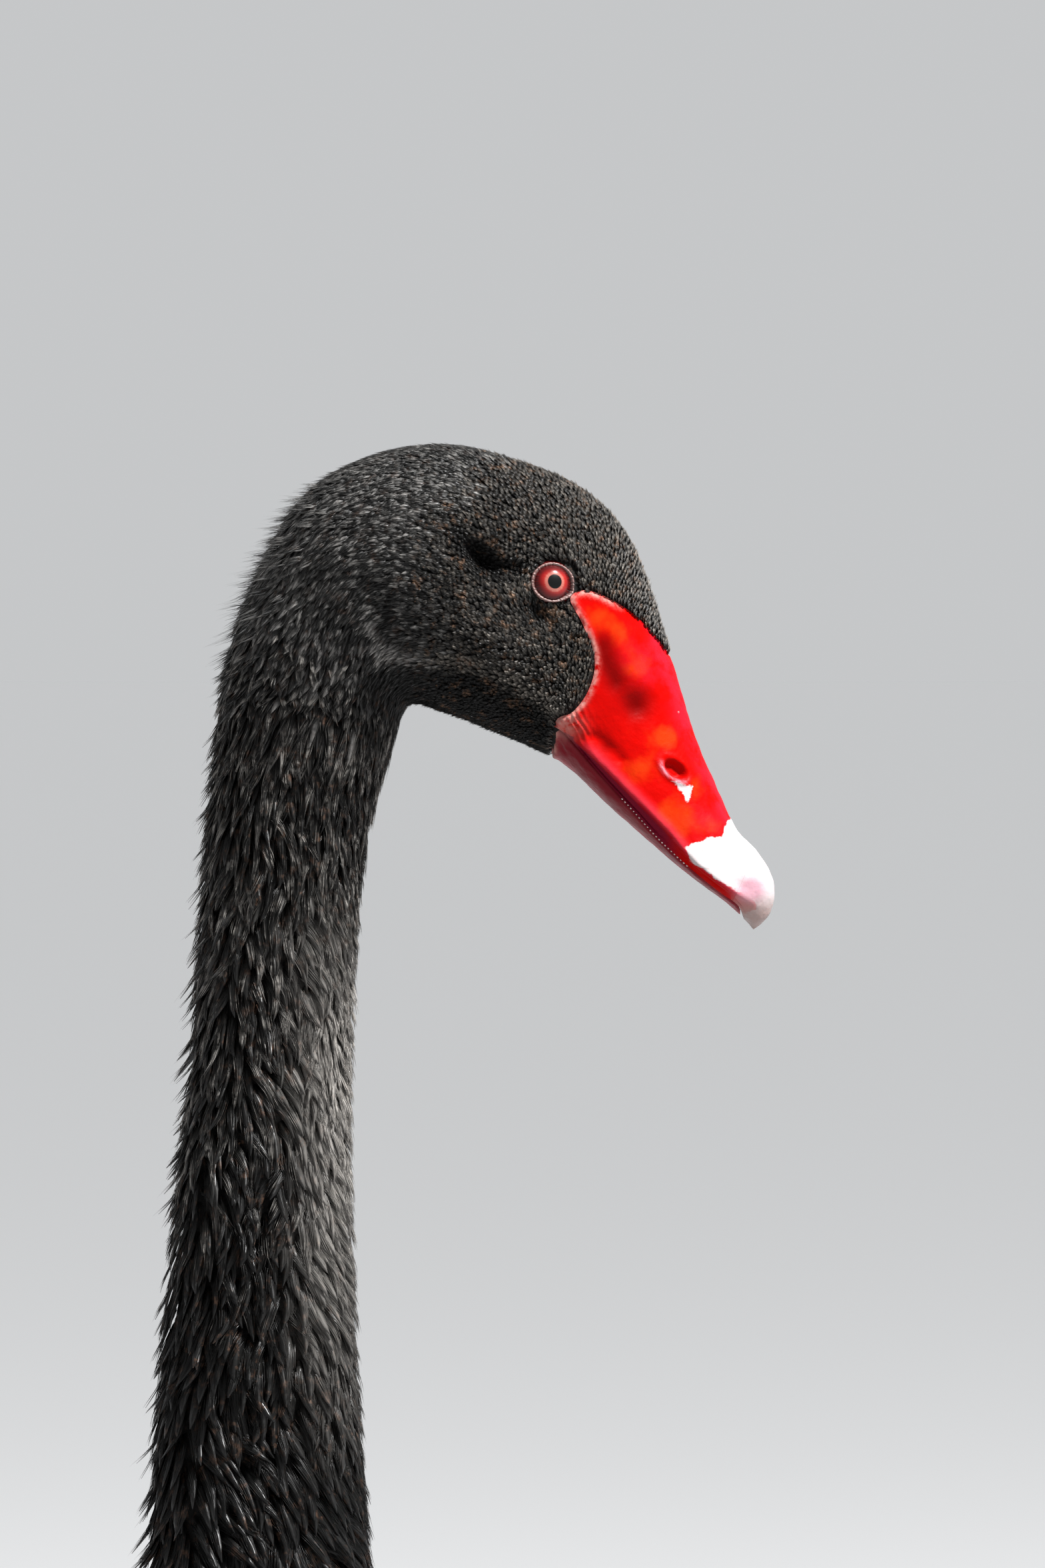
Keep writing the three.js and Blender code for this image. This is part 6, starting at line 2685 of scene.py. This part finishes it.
@dataclass
class Legs:
    """Both legs and feet, laid flat and tucked under the flanks."""

    side: float = 74.0
    heel: float = -112.0
    shank: float = 96.0
    thick: float = 10.5
    toe: float = 104.0
    splay: float = 19.0
    web: float = 2.2
    ground: float = 0.3
    toe_half: float = 4.6

    @staticmethod
    def bar(stops: Sequence[Sequence[float]], sides: int = 22, steps: int = 6) -> Shell:
        """A tapered bar through some stops.

        Args:
            stops: Rows of x, y, z, half width and half height.
            sides: Points round it.
            steps: Rings between two stops.

        Returns:
            The closed bar.
        """
        last = len(stops) - 1
        rows = through(np.asarray(stops, float), np.linspace(0, last, last * steps + 1))
        angle = circle(sides)
        x = np.repeat(rows[:, :1], sides, axis=1)
        y = rows[:, 1:2] + np.maximum(0.15, rows[:, 3:4]) * np.sin(angle)
        z = rows[:, 2:3] + np.maximum(0.15, rows[:, 4:5]) * np.cos(angle)
        return loft(np.stack([x, y, z], axis=-1))

    def toe_stops(self, index: int) -> Array:
        """The stops of one front toe, from the ankle to the claw's root.

        Args:
            index: Which toe, 0 for the inner one.

        Returns:
            Rows of x, y, z, half width and half height.
        """
        root = self.heel + self.shank
        turn = math.radians((index - 1) * self.splay + 4)
        length = self.toe * (1 if index == 1 else 0.88)
        rows = []
        for s in (0, 0.12, 0.27, 0.33, 0.39, 0.56, 0.64, 0.7, 0.82, 0.9):
            knuckle = 1 + 0.16 * (bell(np.array(s - 0.33), 0.035) + bell(np.array(s - 0.65), 0.035))
            half = mix(self.toe_half, 2.3, s) * float(knuckle)
            place = (root + s * length * math.cos(turn), self.side + s * length * math.sin(turn))
            rows.append((*place, half * 0.8, half, half * 0.95))
        return np.array(rows)

    def claw(self, stops: Array) -> Shell:
        """A blunt black claw at the end of a toe.

        Args:
            stops: The stops of the toe.

        Returns:
            The claw.
        """
        ahead = stops[-1, :2] - stops[-2, :2]
        ahead /= np.linalg.norm(ahead)
        rows = []
        stations = ((-2.0, 2.3, 2.1), (1.5, 2.0, 2.0), (5.0, 1.3, 1.5), (8.2, 0.25, 0.4))
        for step, half, high in stations:
            x, y = stops[-1, :2] + ahead * step
            rows.append((x, y, 2.2 - 0.1 * step, half, high))
        return self.bar(rows, 16, 4)

    def sheet(self, first: Array, second: Array) -> Shell:
        """The web between two toes, sagging and thin, with a hollow front edge.

        Args:
            first: The stops of one toe.
            second: The stops of the next.

        Returns:
            The web.
        """
        count, across = 26, 17
        s, u = np.meshgrid(np.linspace(0.02, 1, count), np.linspace(0, 1, across), indexing="ij")
        a = through(first[:, :3], s * (len(first) - 1) * 0.985)
        b = through(second[:, :3], s * (len(second) - 1) * 0.985)
        middle = np.sin(np.pi * u)[..., None]
        point = a + (b - a) * u[..., None]
        root = first[0, :3]
        point += (root - point) * 0.13 * middle * (s**3)[..., None]
        wrinkle = 0.25 * np.sin(u * 26 + 2 * np.sin(s * 9)) * np.sin(np.pi * u)
        half = mix(self.web / 2, 0.35, s) + 0.1
        lift = 1.35 + 0.4 * (1 - np.sin(np.pi * u)) + wrinkle * 0.6
        top = np.stack([point[..., 0], point[..., 1], lift + half], -1)
        low = np.stack([point[..., 0], point[..., 1], np.maximum(self.ground, lift - half)], -1)
        return loft(np.concatenate([top, low[:, ::-1]], axis=1))

    def scutes(self, toes: Sequence[Array], side: int) -> Piece:
        """The row of plates along the top of each toe and of the shank.

        Args:
            toes: The stops of the toes.
            side: 1 for the left foot and -1 for the right one.

        Returns:
            The piece.
        """
        runs, wide = [], []
        for stops in toes:
            rows = through(stops, np.linspace(0.1, len(stops) - 1.1, 40))
            runs.append(np.stack([rows[:, 0], side * rows[:, 1], rows[:, 2] + rows[:, 4] * 0.9], 1))
            wide.append(rows[:, 3] / self.toe_half)
        r = self.thick / 2
        x = np.linspace(self.heel + 14, self.heel + self.shank - 4, 40)
        runs.append(np.stack([x, np.full(40, side * self.side), np.full(40, 4.8 + r * 0.86)], 1))
        wide.append(np.full(40, 1.05))
        name = "scutes_left" if side > 0 else "scutes_right"
        sizes = BeadSizes(2.3, 2.7, 6.6, 1.3)
        return beads_along(name, runs, sizes, Coating.LEG.material(), seed=9, wide=wide)

    def shank_and_thigh(self) -> Shell:
        """The leg from the thigh in the plumage to the ankle.

        Returns:
            The leg.
        """
        r, front = self.thick / 2, self.heel + self.shank
        shank = self.bar([
            (self.heel - 8.5, self.side, 5.6, r * 0.5, r * 0.5),
            (self.heel - 4, self.side, 6, r * 1.15, r * 1.08),
            (self.heel + 6, self.side, 6.2, r * 1.25, r * 1.15),
            (self.heel + 18, self.side, 5.2, r * 0.95, r * 0.95),
            (front - 40, self.side, 4.9, r * 0.84, r * 0.9),
            (front - 14, self.side, 4.8, r * 0.85, r * 0.88),
            (front - 1, self.side, 4.8, r * 1.0, r * 0.88),
        ])
        rings = []
        for i in np.linspace(0, 3, 16):
            angle = circle(26)
            reach = mix(r * 1.15, 17.5, i / 3)
            x = self.heel + 4 + 5 * i + reach * np.cos(angle)
            y = self.side - 2 * i + reach * 0.75 * np.sin(angle)
            rings.append(np.stack([x, y, np.full_like(x, 7 + 6.4 * i)], 1))
        return Shell.joined([shank, loft(np.array(rings))])

    def build(self) -> list[Piece]:
        """Makes both legs and feet.

        Returns:
            The pieces.
        """
        pieces = []
        root = self.heel + self.shank
        hind = self.bar([
            (root + 5, self.side - 3, 4.4, 2.5, 2.7), (root - 6, self.side - 8.5, 4.2, 2.4, 2.5),
            (root - 14, self.side - 11.5, 3.2, 1.7, 2.0), (root - 19.5, self.side - 13, 2.4, 0.4, 0.7),
        ], 16)
        toes = [self.toe_stops(k) for k in range(3)]
        flesh = [self.bar(stops) for stops in toes]
        webs = [self.sheet(toes[0], toes[1]), self.sheet(toes[1], toes[2])]
        ankle = self.bar([
            (root - 5, self.side, 4.8, 4.2, 4.3), (root + 2, self.side, 4.8, 5.2, 4.4),
            (root + 9, self.side, 3.9, 3.5, 3.4),
        ])
        foot = Shell.joined([*flesh, *webs, hind, ankle])
        claws = Shell.joined([self.claw(stops) for stops in toes])
        leg = self.shank_and_thigh()
        for shell in (foot, claws, leg):
            shell.points[:, 2] = np.maximum(shell.points[:, 2], self.ground)
        for side, name in ((1, "left"), (-1, "right")):
            shells = [shell if side > 0 else shell.mirrored() for shell in (foot, claws, leg)]
            made = shells[0].to_object(f"foot_{name}_skin", Coating.LEG.material())
            tips = shells[1].to_object(f"foot_{name}_claws", Coating.CLAW.material())
            shin = shells[2].to_object(f"leg_{name}_skin", Coating.LEG.material())
            pieces.append(ride(made, "leg_skin", f"foot_{name}"))
            pieces.append(ride(tips, "leg_skin"))
            pieces.append(ride(shin, "leg_skin", f"leg_{name}"))
            pieces.append(ride(self.scutes(toes, side), "leg_skin"))
        return pieces


@dataclass
class Studio:
    """The floor, the even surrounding light, the lamps and the camera."""

    aim: tuple[float, float, float] = (211.86, 0.0, 622.46)
    distance: float = 4200.0
    elevation: float = 1.0
    frame_height: float = 423.4
    sensor: float = 36.0
    floor_radius: float = 60.0
    surround: float = 0.58
    floor_sides: int = 96
    target: tuple[float, float, float] = (0.1, 0.0, 0.4)
    # The lamps: name, place in metres, side in metres and power in watts.
    lamps: Sequence[tuple[str, tuple[float, float, float], float, float]] = (
        ("key", (1.85, -1.0, 3.3), 0.5, 500.0),
        ("rim", (-1.2, 1.6, 2.4), 1.2, 20.0),
    )

    def floor(self) -> None:
        """A wide round floor that fades into the distance."""
        rings = np.concatenate([np.linspace(0.4, 8, 20), np.geomspace(9, self.floor_radius, 14)])
        turn, sides = circle(self.floor_sides), self.floor_sides
        points = [np.zeros((1, 3))]
        points += [np.stack([r * np.cos(turn), r * np.sin(turn), np.zeros(sides)], 1) for r in rings]
        k = np.arange(sides)
        middle = np.stack([np.zeros(sides, int), 1 + k, 1 + (k + 1) % sides], 1)
        faces = np.concatenate([middle, 1 + grid_faces(len(rings), sides, True)[:, ::-1]])
        made = Shell(np.concatenate(points) / MM, faces).to_object("floor", Coating.FLOOR.material())

    def light(self, name: str, place: tuple[float, float, float], size: float, power: float) -> None:
        """A square soft lamp that shines at the bird's middle.

        Args:
            name: Its name.
            place: Where it hangs, in metres.
            size: Its side, in metres.
            power: Its power, in watts.
        """
        lamp = bpy.data.lights.new(name, "AREA")
        lamp.shape, lamp.size, lamp.energy = "SQUARE", size, power
        made = add_object(name, lamp)
        made.location = place
        made.rotation_euler = (Vector(place) - Vector(self.target)).to_track_quat("Z", "Y").to_euler()

    def world(self) -> None:
        """An even pale surround."""
        world = bpy.data.worlds.new("surround")
        world.use_nodes = True
        world.node_tree.nodes["Background"].inputs["Color"].default_value = (0.97, 0.985, 1.0, 1.0)
        world.node_tree.nodes["Background"].inputs["Strength"].default_value = self.surround
        bpy.context.scene.world = world

    def camera(self) -> None:
        """The camera, level with the head and square to the bird's right side."""
        data = bpy.data.cameras.new("camera")
        data.sensor_width = self.sensor
        data.lens = self.sensor * self.distance / self.frame_height
        data.clip_end = 200.0
        made = add_object("camera", data)
        rise = math.radians(self.elevation)
        back = Vector((0.0, -math.cos(rise), math.sin(rise)))
        made.location = Vector(self.aim) * MM + back * self.distance * MM
        made.rotation_euler = back.to_track_quat("Z", "Y").to_euler()
        bpy.context.scene.camera = made

    def build(self) -> None:
        """Sets up the whole studio."""
        self.floor()
        self.world()
        for lamp in self.lamps:
            self.light(*lamp)
        self.camera()
        bpy.context.scene.view_settings.view_transform = "Standard"


def main() -> None:
    """Loads the solids, dresses them piece by piece and sets up the studio."""
    logging.basicConfig(level=logging.INFO, format="%(name)s: %(message)s")
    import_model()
    form = BodyForm()
    wing = Wing(form)
    for maker in (Flesh(form), Bill(form), Eyes(form), Coat(form, wing), wing, Tail(form), Legs()):
        made = maker.build()
        log.info("%s done: %s", type(maker).__name__, made.name if hasattr(made, "name") else len(made))
    Studio().build()


if __name__ == "__main__":
    main()
